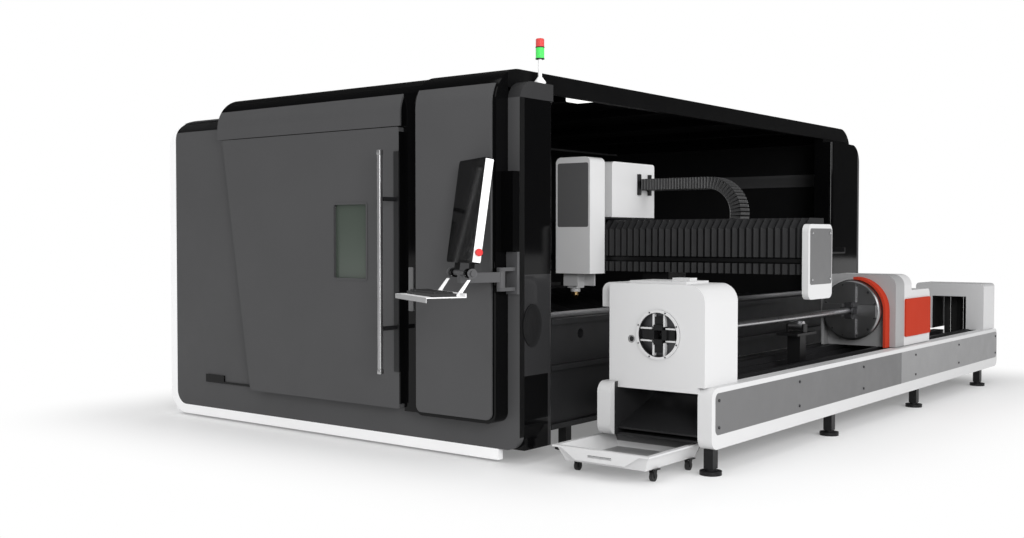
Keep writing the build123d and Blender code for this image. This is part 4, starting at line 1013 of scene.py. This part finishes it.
    def recess_lock(self) -> None:
        """The door lock on the black strip beside the door, with its key barrel."""
        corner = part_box("door_header")[1]
        inset, sunk, height = self.lock_spot
        middle = corner.x - inset
        depth = self.lock_size[1]
        front = corner.y - sunk - depth
        lock = Piece.block("recess_lock", (middle, front + depth / 2, height), self.lock_size)
        lock.soften(0.005).inset(Way.FRONT, rim=0.006, rise=-0.002).ride("machine", PANEL_GREY)
        proud, lower = 0.001, 0.05
        spot = (middle, front - proud, height - lower)
        key = Piece.barrel("recess_key", spot, radius=0.009, length=0.012, axis=Axis.Y)
        key.inset(Way.FRONT, rim=0.003, rise=-0.002).ride("machine", STEEL)

    def tower_rings(self) -> None:
        """Dark rings under and over the signal tower's green lamp."""
        low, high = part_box("tower_green")
        centre = (low + high) / 2
        skin = 0.002
        radius = (high.x - low.x) / 2 + skin
        for name, level in (("tower_ring_low", low.z), ("tower_ring_high", high.z)):
            spot = (centre.x, centre.y, level)
            ring = Piece.barrel(name, spot, radius, length=0.006, axis=Axis.Z, sides=48)
            ring.soften(0.0015).ride("machine", BLACK_PLASTIC)

    def bay_lamp(self) -> None:
        """A work lamp under the roof behind the front column."""
        low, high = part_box("side_columns")
        inset, start, drop = self.lamp_spot
        width, depth, height = self.lamp_size
        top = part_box("roof_cover")[1].z - drop
        spot = (high.x - inset - width / 2, low.y + start + depth / 2, top - height / 2)
        lamp = Piece.block("bay_lamp", spot, self.lamp_size)
        lamp.soften(0.008).inset(Way.RIGHT, rim=0.006, rise=-0.003).ride("machine", WHITE_LIGHT)

    def column_port(self) -> None:
        """The oval port low on the front column's right face, as a black sunk disc: painted shade standing
        for the dark inside of the real opening.
        """
        breadth, height = self.port_size
        spot = (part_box("side_columns")[1].x, *self.port_centre)
        port = Piece.barrel("column_port", spot, height / 2, length=0.012, axis=Axis.X, sides=48)
        with port.editing(faces=lambda face: True):
            bpy.ops.transform.resize(value=(1.0, breadth / height, 1.0))
        port.inset(Way.RIGHT, rim=0.014, rise=-0.004).inset(Way.RIGHT, rim=0.03, rise=0.002)
        # The port is black as painted shade, where the real port is an opening.
        port.ride("machine", FRAME_BLACK)

    def wall_rail(self) -> None:
        """The dark rail along the inside of the back wall."""
        low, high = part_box("back_wall")
        depth, height = self.rail_size
        spot = ((low.x + high.x) / 2, low.y - depth / 2, self.rail_height)
        rail = Piece.block("wall_rail", spot, (high.x - low.x - 2 * self.rail_inset, depth, height))
        rail.inset(Way.FRONT, rim=0.02, rise=-0.01).soften(0.003).ride("machine", FRONT_GREY)

    def vents(self) -> None:
        """Louvred vents low on the back wall and on the left wall."""
        width, depth, height = self.louvre_size
        level = self.vent_bottom + height / 2
        pitch = height * 1.5
        rows = [shift(z=row * pitch) for row in range(1, self.louvre_rows)]
        narrowed = (0.96, 0.96, 0.4)
        low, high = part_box("back_wall")
        back = ((low.x + high.x) / 2, high.y + depth / 2, level)
        left = (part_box("left_cover")[0].x - depth / 2, 0.0, level)
        back_pitch, left_pitch = self.vent_pitch
        walls = (
            ("back_louvres", back, (width, depth, height), Way.BACK, shift(x=back_pitch)),
            ("left_louvres", left, (depth, width, height), Way.LEFT, shift(y=left_pitch)),
        )
        for name, spot, size, way, move in walls:
            louvre = Piece.block(name, spot, size).taper(way, narrowed, drop=height * 0.3)
            louvre.repeat(rows).repeat([move.inverted(), move]).ride("machine", FRONT_GREY)

    def back_screws(self) -> None:
        """Rows of screws on the back wall."""
        low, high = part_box("back_wall")
        inset, bottom = self.screw_edge
        count, rows = self.screw_grid
        pitch = (high.x - low.x - 2 * inset) / (count - 1)
        head = Piece.screw("back_screws", (low.x + inset, high.y, bottom), Way.BACK, self.screw_radius)
        head.repeat(grid((pitch, 0.0, 0.0), count, (0.0, 0.0, self.screw_rise), rows))
        head.ride("machine", STEEL)


@dataclass
class Door(SubAssembly):
    """The sliding door with its window and handle.

    Args:
        gasket: The width of the window's gasket.
        gasket_rise: How far it stands off the door.
        gasket_lap: How far it laps over the glass, and into the door.
        gasket_corner: The radius of its corners.
        cap_height: The height of the handle's end caps.
        cap_skin: How far they stand off the handle.
    """

    gasket: float = 0.01
    gasket_rise: float = 0.003
    gasket_lap: float = 0.004
    gasket_corner: float = 0.024
    cap_height: float = 0.03
    cap_skin: float = 0.0012

    def __post_init__(self) -> None:
        """Choose the finishes."""
        self.finishes = {
            "door_leaf": FRONT_GREY,
            "door_edge": GLOSS_BLACK,
            "door_window": GREEN_GLASS,
            "handle_mounts": BLACK_PLASTIC,
            "door_handle": HANDLE_STEEL,
        }

    def build(self) -> None:
        """Model the pieces on the door."""
        low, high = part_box("door_window")
        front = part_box("door_leaf")[0].y
        edge, lap = self.gasket, self.gasket_lap
        gasket = Piece.between(
            "window_gasket",
            (low.x - edge, front - self.gasket_rise, low.z - edge),
            (high.x + edge, front + lap, high.z + edge),
        )
        gasket.round_corners(Axis.Y, self.gasket_corner).open_through(Axis.Y, edge + lap)
        gasket.ride("door", FRONT_GREY)
        low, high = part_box("door_handle")
        skin = self.cap_skin
        cap = Piece.between(
            "handle_caps",
            (low.x - skin, low.y - skin, high.z - self.cap_height),
            (high.x + skin, high.y + skin, high.z + skin),
        )
        cap.soften(0.006, segments=3).repeat([shift(z=low.z - high.z + self.cap_height - skin)])
        cap.ride("door", HANDLE_STEEL)


@dataclass
class Console(SubAssembly):
    """The swinging console with its screen, tray and keyboard.

    Args:
        turn: How far the console is turned.
        key_field: The breadth and depth of the field of keys.
        key_rows: How many rows of keys there are.
        key_columns: How many keys there are in a row.
        key_rise: How high a key is.
        key_gap: The gap between two keys.
        key_top: How large a key's top is against its foot.
        side_depth: How deep the monitor's white side is, with the stop button's collar.
        tray_edge: How deep the tray's grey front edge is.
        mount_top: The top of the mount's grey foot.
        ring_bottom: Where the grey rings on the tray's rods start.
    """

    turn: float = math.radians(29.0)
    key_field: Span = (0.406, 0.106)
    key_rows: int = 5
    key_columns: int = 15
    key_rise: float = 0.006
    key_gap: float = 0.003
    key_top: Point = (0.78, 0.78, 1.0)
    side_depth: float = 0.009
    tray_edge: float = 0.003
    mount_top: float = 1.195
    ring_bottom: float = 1.052

    def __post_init__(self) -> None:
        """Choose the finishes."""
        side = self.outer("monitor_case", -self.turn, self.side_depth)
        case = GLOSS_BLACK.patched("case_paint", Patch(PAINTED_LIGHT_WHITE.colour, (side,)))
        front = self.outer("keyboard_tray", -self.turn - math.pi / 2, self.tray_edge)
        rings = Axis.Z.above(self.ring_bottom)
        tray = PAINTED_LIGHT_WHITE.patched(
            "tray_paint", Patch(LIGHT_GREY.colour, (front,)), Patch(ARM_GREY.colour, (rings,))
        )
        foot = Axis.Z.below(self.mount_top)
        mount = GLOSS_BLACK.patched("mount_paint", Patch(ARM_GREY.colour, (foot,)))
        self.finishes = {
            "console_mount": mount,
            "console_arm": ARM_GREY,
            "monitor_case": case,
            "monitor_screen": SCREEN,
            "estop_button": RED_PLASTIC,
            "keyboard_tray": tray,
            "keyboard": BLACK_PLASTIC,
        }

    def outer(self, name: str, turn: float, depth: float) -> Region:
        """The outermost part of a node along a level direction.

        Args:
            name: The node's name.
            turn: How far the direction is turned from X round Z.
            depth: How deep the part is.

        Returns:
            The part.
        """
        spots = [vertex.co for vertex in self.nodes[name].data.vertices]
        far = max(spot.x * math.cos(turn) + spot.y * math.sin(turn) for spot in spots)
        return Region(Axis.X, far - depth, turn=turn)

    def build(self) -> None:
        """Model the keys on the keyboard."""
        low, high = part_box("keyboard")
        centre = (low + high) / 2
        width, depth = self.key_field
        across, down = width / self.key_columns, depth / self.key_rows
        key = Piece.block(
            "keyboard_keys",
            ((across - width) / 2, (down - depth) / 2, self.key_rise / 2),
            (across - self.key_gap, down - self.key_gap, self.key_rise),
        )
        key.taper(Way.TOP, self.key_top)
        key.repeat(grid((across, 0.0, 0.0), self.key_columns, (0.0, down, 0.0), self.key_rows))
        seat = shift(centre.x, centre.y, high.z) @ Matrix.Rotation(-self.turn, 4, "Z")
        key.shape.data.transform(seat)
        key.ride("console", BLACK_PLASTIC)


@dataclass
class Gantry(SubAssembly):
    """The beam with its way cover and end cover.

    Args:
        screw_radius: The radius of the end cover's screws.
        screw_inset: How far the screws lie from the end panel's edges.
    """

    screw_radius: float = 0.007
    screw_inset: float = 0.03

    def __post_init__(self) -> None:
        """Choose the finishes."""
        self.finishes = {
            "gantry_beam": FRAME_BLACK,
            "beam_end_cover": WHITE,
            "beam_end_panel": PANEL_GREY,
            "beam_bellows": BELLOWS,
        }

    def build(self) -> None:
        """Model the screws in the corners of the end panel."""
        screws = edge_screws("end_panel_screws", "beam_end_panel", self.screw_radius, self.screw_inset, 2)
        screws.ride("gantry", STEEL)


@dataclass
class Head(SubAssembly):
    """The carriage with its covers, cable chain and cutting head.

    Args:
        link_count: How many links the chain's straight run has.
        link_gap: The gap between two links.
        link_rise: How high a link is.
        bracket_size: The chain bracket's thickness, depth and height.
        bracket_arm: Half the height of its bar, and the width of its posts.
    """

    link_count: int = 24
    link_gap: float = 0.003
    link_rise: float = 0.08
    bracket_size: Point = (0.02, 0.17, 0.15)
    bracket_arm: float = 0.03

    def __post_init__(self) -> None:
        """Choose the finishes."""
        self.finishes = {
            "head_carriage": FRAME_BLACK,
            # The head cover and the chain box are painted lighter than the other white parts, as painted
            # light.
            "head_cover": HEAD_WHITE_PAINTED_LIGHT,
            "head_panel": PANEL_GREY,
            "chain_box": HEAD_WHITE_PAINTED_LIGHT,
            "cable_chain": CHAIN_GREY,
            "cutting_head": HEAD_GREY,
            "nozzle": BRASS,
        }

    def build(self) -> None:
        """Model the chain and what holds it."""
        self.chain()
        self.bracket()

    def chain(self) -> None:
        """A chain of links that goes over the bend and back under it."""
        low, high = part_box("cable_chain")
        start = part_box("chain_box")[1].x
        radius = (high.z - low.z) / 2
        bend_x = high.x - radius
        middle_z = (high.z + low.z) / 2
        pitch = (bend_x - start) / self.link_count
        rise = self.link_rise
        link_radius = radius - rise / 2
        spot = (start + pitch / 2, (low.y + high.y) / 2, high.z - rise / 2)
        chain = Piece.block("chain_links", spot, (pitch - self.link_gap, high.y - low.y, rise))
        for way in (Way.FRONT, Way.BACK, Way.TOP, Way.UNDER):
            chain.inset(way, rim=pitch * 0.2, rise=-0.003)
        straight = [shift(x=place * pitch) for place in range(1, self.link_count)]
        returning = [shift(x=place * pitch, z=-2 * link_radius) for place in range(self.link_count)]
        bend_count = round(math.pi * link_radius / pitch)
        step = math.pi / bend_count
        centre = (bend_x, 0.0, middle_z)
        to_bend = shift(bend_x - start - pitch / 2)
        bending = [turned(centre, (place + 0.5) * step) @ to_bend for place in range(bend_count)]
        chain.repeat(straight + returning + bending).ride("head", CHAIN_GREY)
        link = chain.shape
        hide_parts("cable_chain")
        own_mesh(link)

    def bracket(self) -> None:
        """The black bracket that holds the chain's upper end on the chain box."""
        low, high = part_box("cable_chain")
        thick, deep, tall = self.bracket_size
        arm = self.bracket_arm
        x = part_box("chain_box")[1].x + thick / 2
        y = (low.y + high.y) / 2
        z = high.z - self.link_rise / 2
        bar = Piece.block("chain_bracket", (x, y, z), (thick, deep, 2 * arm)).soften(0.004)
        post_spot = (x, y - (deep - arm) / 2, z)
        post = Piece.block("chain_bracket_posts", post_spot, (thick, arm, tall)).soften(0.004)
        post.repeat([shift(y=deep - arm)])
        for piece in (bar, post):
            piece.ride("head", BLACK_PLASTIC)


@dataclass
class TubeBed(SubAssembly):
    """The tube bed with its rims, feet, support and end portal.

    Args:
        screw_radius: The radius of the panel screws.
        screw_inset: How far they lie from the panel's edges.
        screw_count: How many there are along the panel.
        seam: Where the side panel's rear half starts.
        portal_leg: The width of the end portal's legs.
        portal_head: The height of the beam over its opening.
        strips: How many rubber strips hang in the opening.
        strip_width: A strip's width.
        strip_thickness: How thick it is.
        strip_gap: The gap between the strips in front and those behind.
        lap: How far the first strip hangs from the leg.
        trough: The height of the trough's floor.
        rim_edge: How far behind the left rim's front its dark inner side starts.
        left_rear: How far behind the left rim's front its dark rear part starts.
        rear_grey: The lighter grey of the side panel's rear half.
    """

    screw_radius: float = 0.008
    screw_inset: float = 0.04
    screw_count: int = 6
    seam: float = 0.79
    portal_leg: float = 0.15
    portal_head: float = 0.115
    strips: int = 5
    strip_width: float = 0.056
    strip_thickness: float = 0.004
    strip_gap: float = 0.001
    lap: float = 0.003
    trough: float = 0.19
    rim_edge: float = 0.045
    left_rear: float = 0.75
    rear_grey: Colour = (0.235, 0.235, 0.238)

    def __post_init__(self) -> None:
        """Choose the finishes."""
        skin = 0.002
        low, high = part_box("end_portal")
        inside = (
            Axis.X.above(low.x + self.portal_leg - skin),
            Axis.X.below(high.x - self.portal_leg + skin),
            Axis.Z.below(high.z - self.portal_head + skin),
        )
        outside = (Axis.X.above(high.x - skin),)
        portal = HEAD_GREY.patched(
            "portal_paint", Patch(WHITE.colour, outside), Patch(FRAME_BLACK.colour, inside)
        )
        low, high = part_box("side_rims")
        middle = (low.x + high.x) / 2
        inner = max(spot.co.x for spot in self.nodes["side_rims"].data.vertices if spot.co.x < middle)
        left = Axis.X.below(middle)
        chute_wall = (Axis.X.above(inner - skin), left, Axis.Y.above(low.y + self.rim_edge))
        left_top = (Axis.X.above(low.x + skin), left, Axis.Y.above(low.y + self.left_rear))
        rims = WHITE.patched(
            "rim_paint", Patch(BED_BLACK.colour, chute_wall), Patch(BED_BLACK.colour, left_top)
        )
        rear_half = (Axis.Y.above(self.seam),)
        panel = PANEL_GREY.patched("side_panel_paint", Patch(self.rear_grey, rear_half))
        self.finishes = {
            "tube_bed_frame": BED_BLACK,
            "side_rims": rims,
            "outer_side_panel": panel,
            "levelling_feet": FRAME_BLACK,
            "tube": TUBE_STEEL,
            "tube_support_post": FRAME_BLACK,
            "support_roller": STEEL,
            "end_portal": portal,
        }

    def build(self) -> None:
        """Model the panel's screws and the portal's curtain."""
        screws = edge_screws(
            "side_panel_screws", "outer_side_panel", self.screw_radius, self.screw_inset, self.screw_count
        )
        screws.ride("machine", DARK_STEEL)
        self.curtain()

    def curtain(self) -> None:
        """Rubber strips that hang in the end portal's opening."""
        low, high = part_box("end_portal")
        left = low.x + self.portal_leg + self.lap
        top = high.z - self.portal_head
        wide, thick = self.strip_width, self.strip_thickness
        front = high.y - 3 * thick
        step = thick + self.strip_gap
        corner = (left + wide, front + thick, top)
        strip = Piece.between("portal_curtain", (left, front, self.trough), corner)
        moves = [shift(x=place * wide, y=place % 2 * step) for place in range(1, self.strips)]
        strip.soften(0.0012).repeat(moves).ride("machine", RUBBER)
        edge = Piece.between(
            "portal_curtain_edge",
            (left + self.strips * wide, front + step, low.z),
            (high.x - self.portal_leg, front + step + thick, top),
        )
        edge.soften(0.0012).ride("machine", RUBBER)


@dataclass
class Chucks(SubAssembly):
    """The two chucks, the rear one on its carriage.

    Args:
        ring_bolts: How many bolts the front ring has.
        ring_bolt: The radius of their heads.
        ring_bolt_inset: How far in from the rotor's edge they stand.
        ring_width: The width of the white ring round the front chuck.
        disc_bolts: How many bolts the rear disc has.
        disc_bolt: The radius of their heads.
        disc_circle: The radius of the circle that they stand on.
        disc_step: How far that circle lies behind the disc's front.
        guide_size: The length, depth and width of a jaw's guide strip.
        guide_start: How far it starts from the chuck's middle, and behind its face.
        guide_offset: How far a guide strip lies from its jaw's middle.
        port_spot: Where the air port lies across the machine, and how high.
        port_radius: The radius of the black disc in it, which is painted shade.
        port_depth: The disc's length.
        port_rise: How far the disc stands off the housing.
    """

    ring_bolts: int = 8
    ring_bolt: float = 0.0045
    ring_bolt_inset: float = 0.007
    ring_width: float = 0.015
    disc_bolts: int = 12
    disc_bolt: float = 0.009
    disc_circle: float = 0.19
    disc_step: float = 0.022
    guide_size: Point = (0.072, 0.03, 0.009)
    guide_start: Span = (0.044, 0.012)
    guide_offset: float = 0.034
    port_spot: Span = (1.569, 0.712)
    port_radius: float = 0.021
    port_depth: float = 0.02
    port_rise: float = 0.002

    def __post_init__(self) -> None:
        """Choose the finishes."""
        low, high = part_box("rear_chuck_disc")
        left_half = Axis.X.below((low.x + high.x) / 2)
        self.finishes = {
            "front_chuck_housing": WHITE,
            "front_chuck_rotor": DARK_STEEL,
            "front_chuck_jaws": FRAME_BLACK,
            "rear_housing": WHITE,
            "rear_front_plate": LIGHT_GREY,
            "red_guards": RED.patched("guard_paint", Patch(LIGHT_GREY.colour, (left_half,))),
            "rear_chuck_disc": DISC_STEEL,
            "rear_chuck_jaws": DARK_STEEL,
        }

    def build(self) -> None:
        """Model the ring and guide strips of the front chuck, the bolts of both, and the black disc in the
        air port that is painted shade.
        """
        low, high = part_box("front_chuck_rotor")
        centre = (low + high) / 2
        mouth = (centre.x, low.y, centre.z)
        radius = (high.x - low.x) / 2
        self.front_ring(mouth, radius)
        self.guide_strips(mouth)
        circle = radius - self.ring_bolt_inset
        bolts = self.bolt_circle("front_ring_bolts", mouth, circle, self.ring_bolts, self.ring_bolt)
        bolts.ride("front_chuck", DARK_STEEL)
        self.port_plug()
        low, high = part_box("rear_chuck_disc")
        centre = (low + high) / 2
        face = (centre.x, low.y + self.disc_step, centre.z)
        bolts = self.bolt_circle("rear_disc_bolts", face, self.disc_circle, self.disc_bolts, self.disc_bolt)
        bolts.ride("rear_chuck", DARK_STEEL)

    def port_plug(self) -> None:
        """A black disc in the front housing's air port, as painted shade for the dark inside of the port.
        """
        x, z = self.port_spot
        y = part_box("front_chuck_housing")[0].y + self.port_depth / 2 - self.port_rise
        # A black disc fills the port's mouth as painted shade.
        shade_disc = Piece.barrel("port_plug", (x, y, z), self.port_radius, self.port_depth, Axis.Y)
        shade_disc.inset(Way.FRONT, rim=0.006, rise=-0.004).ride("machine", BLACK_PLASTIC)

    def front_ring(self, centre: Point, radius: float) -> None:
        """The white ring round the mouth of the front chuck.

        Args:
            centre: The middle of the mouth.
            radius: The rotor's radius.
        """
        x, y, z = centre
        thick, sunk, skin = 0.006, 0.002, 0.0005
        spot = (x, y + sunk, z)
        ring = Piece.barrel("front_chuck_ring", spot, radius + skin, thick, Axis.Y, sides=64)
        ring.open_through(Axis.Y, self.ring_width).ride("front_chuck", WHITE)

    def guide_strips(self, centre: Point) -> None:
        """White strips on both sides of each jaw of the front chuck.

        Args:
            centre: The middle of the mouth.
        """
        x, y, z = centre
        long, deep, _ = self.guide_size
        start, sunk = self.guide_start
        spot = (x + start + long / 2, y + sunk + deep / 2, z + self.guide_offset)
        strip = Piece.block("jaw_guides", spot, self.guide_size).soften(0.0015)
        strip.repeat([shift(z=-2 * self.guide_offset)])
        strip.repeat([turned(centre, place * math.pi / 2) for place in range(1, 4)])
        strip.ride("front_chuck", WHITE)

    def bolt_circle(self, name: str, centre: Point, radius: float, count: int, head: float) -> Piece:
        """Bolts in a circle on a face that looks forward.

        Args:
            name: The piece's name.
            centre: The circle's centre.
            radius: The circle's radius.
            count: How many bolts there are.
            head: The radius of a bolt's head.

        Returns:
            The bolts.
        """
        x, y, z = centre
        half = math.pi / count
        spot = (x + radius * math.cos(half), y, z + radius * math.sin(half))
        bolt = Piece.screw(name, spot, Way.FRONT, head)
        return bolt.repeat([turned(centre, place * 2 * half) for place in range(1, count)])


@dataclass
class Cart(SubAssembly):
    """The scrap cart on its casters.

    Args:
        floor_shade_height: How far up from its floor the tray's inside is painted grey, as painted shade.
        sheet: How thick the tray's walls are.
    """

    floor_shade_height: float = 0.02
    sheet: float = 0.012

    def __post_init__(self) -> None:
        """Choose the finishes."""
        low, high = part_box("cart_tray")
        sheet = self.sheet
        spots = [vertex.co for vertex in self.nodes["cart_tray"].data.vertices]
        foot = [spot for spot in spots if spot.z < low.z + self.floor_shade_height / 2]
        # Painted shade inside the tray: its floor and its back wall get darker greys than the white
        # outside.
        floor = (
            Axis.Z.below(low.z + self.floor_shade_height),
            Axis.X.above(min(spot.x for spot in foot) + sheet),
            Axis.X.below(max(spot.x for spot in foot) - sheet),
            Axis.Y.above(min(spot.y for spot in foot) + sheet),
            Axis.Y.below(max(spot.y for spot in foot) - sheet),
        )
        back = (Axis.Y.above(high.y - 4 * sheet), Axis.Z.below(high.z - sheet))
        tray = WHITE.patched("cart_paint_painted_shade", Patch(LIGHT_GREY.colour, floor), Patch(PANEL_GREY.colour, back))
        self.finishes = {
            "cart_tray": tray,
            "cart_casters": FRAME_BLACK,
            "cart_front_wheels": RUBBER,
            "cart_rear_wheels": RUBBER,
        }


def stand(data: bpy.types.Light | bpy.types.Camera, spot: Point, way: Vector) -> bpy.types.Object:
    """Stand a lamp or a camera in the scene.

    Args:
        data: The lamp or camera.
        spot: Where it stands.
        way: Where it looks.

    Returns:
        Its object.
    """
    thing = bpy.data.objects.new(data.name, data)
    thing.location = spot
    thing.rotation_euler = way.to_track_quat("-Z", "Y").to_euler()
    bpy.context.scene.collection.objects.link(thing)
    return thing


@dataclass(frozen=True)
class SoftLight:
    """A large soft lamp.

    Args:
        name: The lamp's name.
        spot: Where it hangs.
        target: What it shines at.
        size: Its width and height.
        power: Its power.
    """

    name: str
    spot: Point
    target: Point
    size: Span
    power: float

    def hang(self) -> None:
        """Add the lamp to the scene."""
        lamp = bpy.data.lights.new(self.name, "AREA")
        lamp.shape = "RECTANGLE"
        lamp.size, lamp.size_y = self.size
        lamp.energy = self.power
        stand(lamp, self.spot, Vector(self.target) - Vector(self.spot))


LIGHTS = (
    SoftLight("key_light", (-3.5, -8.0, 7.0), (0.0, -1.0, 0.6), (6.0, 4.0), 70.0),
    SoftLight("side_light", (9.0, -1.0, 4.2), (0.5, 0.0, 0.9), (5.0, 4.0), 240.0),
    SoftLight("corner_light", (7.5, -7.5, 3.0), (0.4, -0.9, 1.2), (3.0, 3.0), 380.0),
    SoftLight("left_light", (-9.0, -1.5, 3.5), (-2.0, 0.0, 1.0), (4.0, 4.0), 90.0),
    SoftLight("top_light", (0.5, -1.0, 8.0), (0.5, 0.0, 0.0), (8.0, 8.0), 150.0),
)


@dataclass
class Studio:
    """The pale floor, the soft light and the camera.

    Args:
        eye: Where the camera stands.
        azimuth: How far it looks to the left of straight on.
        droop: How far it looks down.
        lens: Its focal length in millimetres.
        sensor: The width of its sensor in millimetres.
        sight: How far it sees.
        floor: Half the floor's width.
        fill: The strength of the light from all round.
        mirrored: How bright the surroundings are in mirroring faces.
        fade: Between which distances from the machine the floor turns into the backdrop.
        glow: How much of the backdrop the floor has under the machine.
    """

    eye: Point = (5.009, -7.5235, 1.277)
    azimuth: float = math.radians(38.1)
    droop: float = math.radians(1.583)
    lens: float = 40.71
    sensor: float = 36.0
    sight: float = 200.0
    floor: float = 60.0
    fill: float = 0.7
    mirrored: float = 0.05
    fade: Span = (0.0, 1.3)
    glow: float = 0.2

    def set_up(self) -> None:
        """Build the studio."""
        self.camera()
        self.world()
        self.ground()
        for light in LIGHTS:
            light.hang()

    def camera(self) -> None:
        """Add the camera."""
        lens = bpy.data.cameras.new("photo_camera")
        lens.sensor_width = self.sensor
        lens.lens = self.lens
        lens.clip_end = self.sight
        ahead = Vector((-math.sin(self.azimuth), math.cos(self.azimuth), -math.tan(self.droop)))
        bpy.context.scene.camera = stand(lens, self.eye, ahead)

    def world(self) -> None:
        """Light from all round, and a white backdrop."""
        world = bpy.data.worlds.new("studio")
        bpy.context.scene.world = world
        graph = Graph(world)
        direct, passed, mirrored = (
            graph.node("ShaderNodeLightPath", output=f"Is {ray} Ray")
            for ray in ("Camera", "Transmission", "Glossy")
        )
        seen = direct + passed
        strength = self.fill + seen * (1.0 - self.fill) + mirrored * (self.mirrored - self.fill)
        backdrop = graph.tree.nodes["Background"]
        graph.feed(backdrop.inputs["Color"], (1.0, 1.0, 1.0))
        graph.feed(backdrop.inputs["Strength"], strength)

    def ground(self) -> None:
        """Add the floor, which keeps the machine's shadow and is white elsewhere."""
        clear()
        bpy.ops.mesh.primitive_plane_add(size=2 * self.floor, location=(0.0, 0.0, 0.0))
        floor = Piece("studio_floor").shape
        material = bpy.data.materials.new("studio_floor")
        graph = Graph(material)
        colour = graph.mix(graph.noise(0.6), (0.86, 0.86, 0.865), (0.9, 0.9, 0.9))
        graph.shade(Base_Color=colour, Roughness=0.5, Specular_IOR_Level=0.3)
        away = self.beyond(graph, ("front_skirt", "left_cover", "back_wall"))
        away = away.least(self.beyond(graph, ("side_rims", "cart_tray")))
        near, far = self.fade
        blend = graph.node(
            "ShaderNodeMapRange",
            {"interpolation_type": "SMOOTHSTEP"},
            {"Value": away, "From Min": near, "From Max": far, "To Min": self.glow},
        )
        white = graph.node("ShaderNodeEmission", sockets={"Color": (1.0, 1.0, 1.0), "Strength": 1.0})
        plain = Value(graph, graph.tree.nodes["Principled BSDF"].outputs[0])
        joined = graph.node("ShaderNodeMixShader", sockets={0: blend, 1: plain, 2: white})
        graph.feed(graph.tree.nodes["Material Output"].inputs[0], joined)
        floor.data.materials.append(material)

    def beyond(self, graph: Graph, names: tuple[str, ...]) -> Value:
        """How far a point of the floor lies from the footprint of some nodes.

        Args:
            graph: The floor's nodes.
            names: The nodes of the machine.

        Returns:
            The distance.
        """
        corners = [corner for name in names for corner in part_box(name)]
        low = Vector((min(corner.x for corner in corners), min(corner.y for corner in corners), 0.0))
        high = Vector((max(corner.x for corner in corners), max(corner.y for corner in corners), 0.0))
        away = graph.place()
        steps = (
            ("SUBTRACT", (low + high) / 2),
            ("ABSOLUTE", Vector()),
            ("SUBTRACT", (high - low) / 2),
            ("MAXIMUM", Vector()),
        )
        for operation, other in steps:
            away = graph.node("ShaderNodeVectorMath", {"operation": operation}, {0: away, 1: tuple(other)})
        return graph.node("ShaderNodeVectorMath", {"operation": "LENGTH"}, {0: away}, output="Value")


def main() -> None:
    """Build the machine's looks and the studio."""
    logging.basicConfig(level=logging.INFO, format="%(name)s: %(message)s")
    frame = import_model()
    bpy.context.scene.view_settings.view_transform = "Standard"
    Studio().set_up()
    for group in (Enclosure, Door, Console, Gantry, Head, TubeBed, Chucks, Cart):
        assembly = group(frame["nodes"])
        assembly.dress()
        assembly.build()
        LOG.info("%s is done", group.__name__)
    clear()


if __name__ == "__main__":
    main()
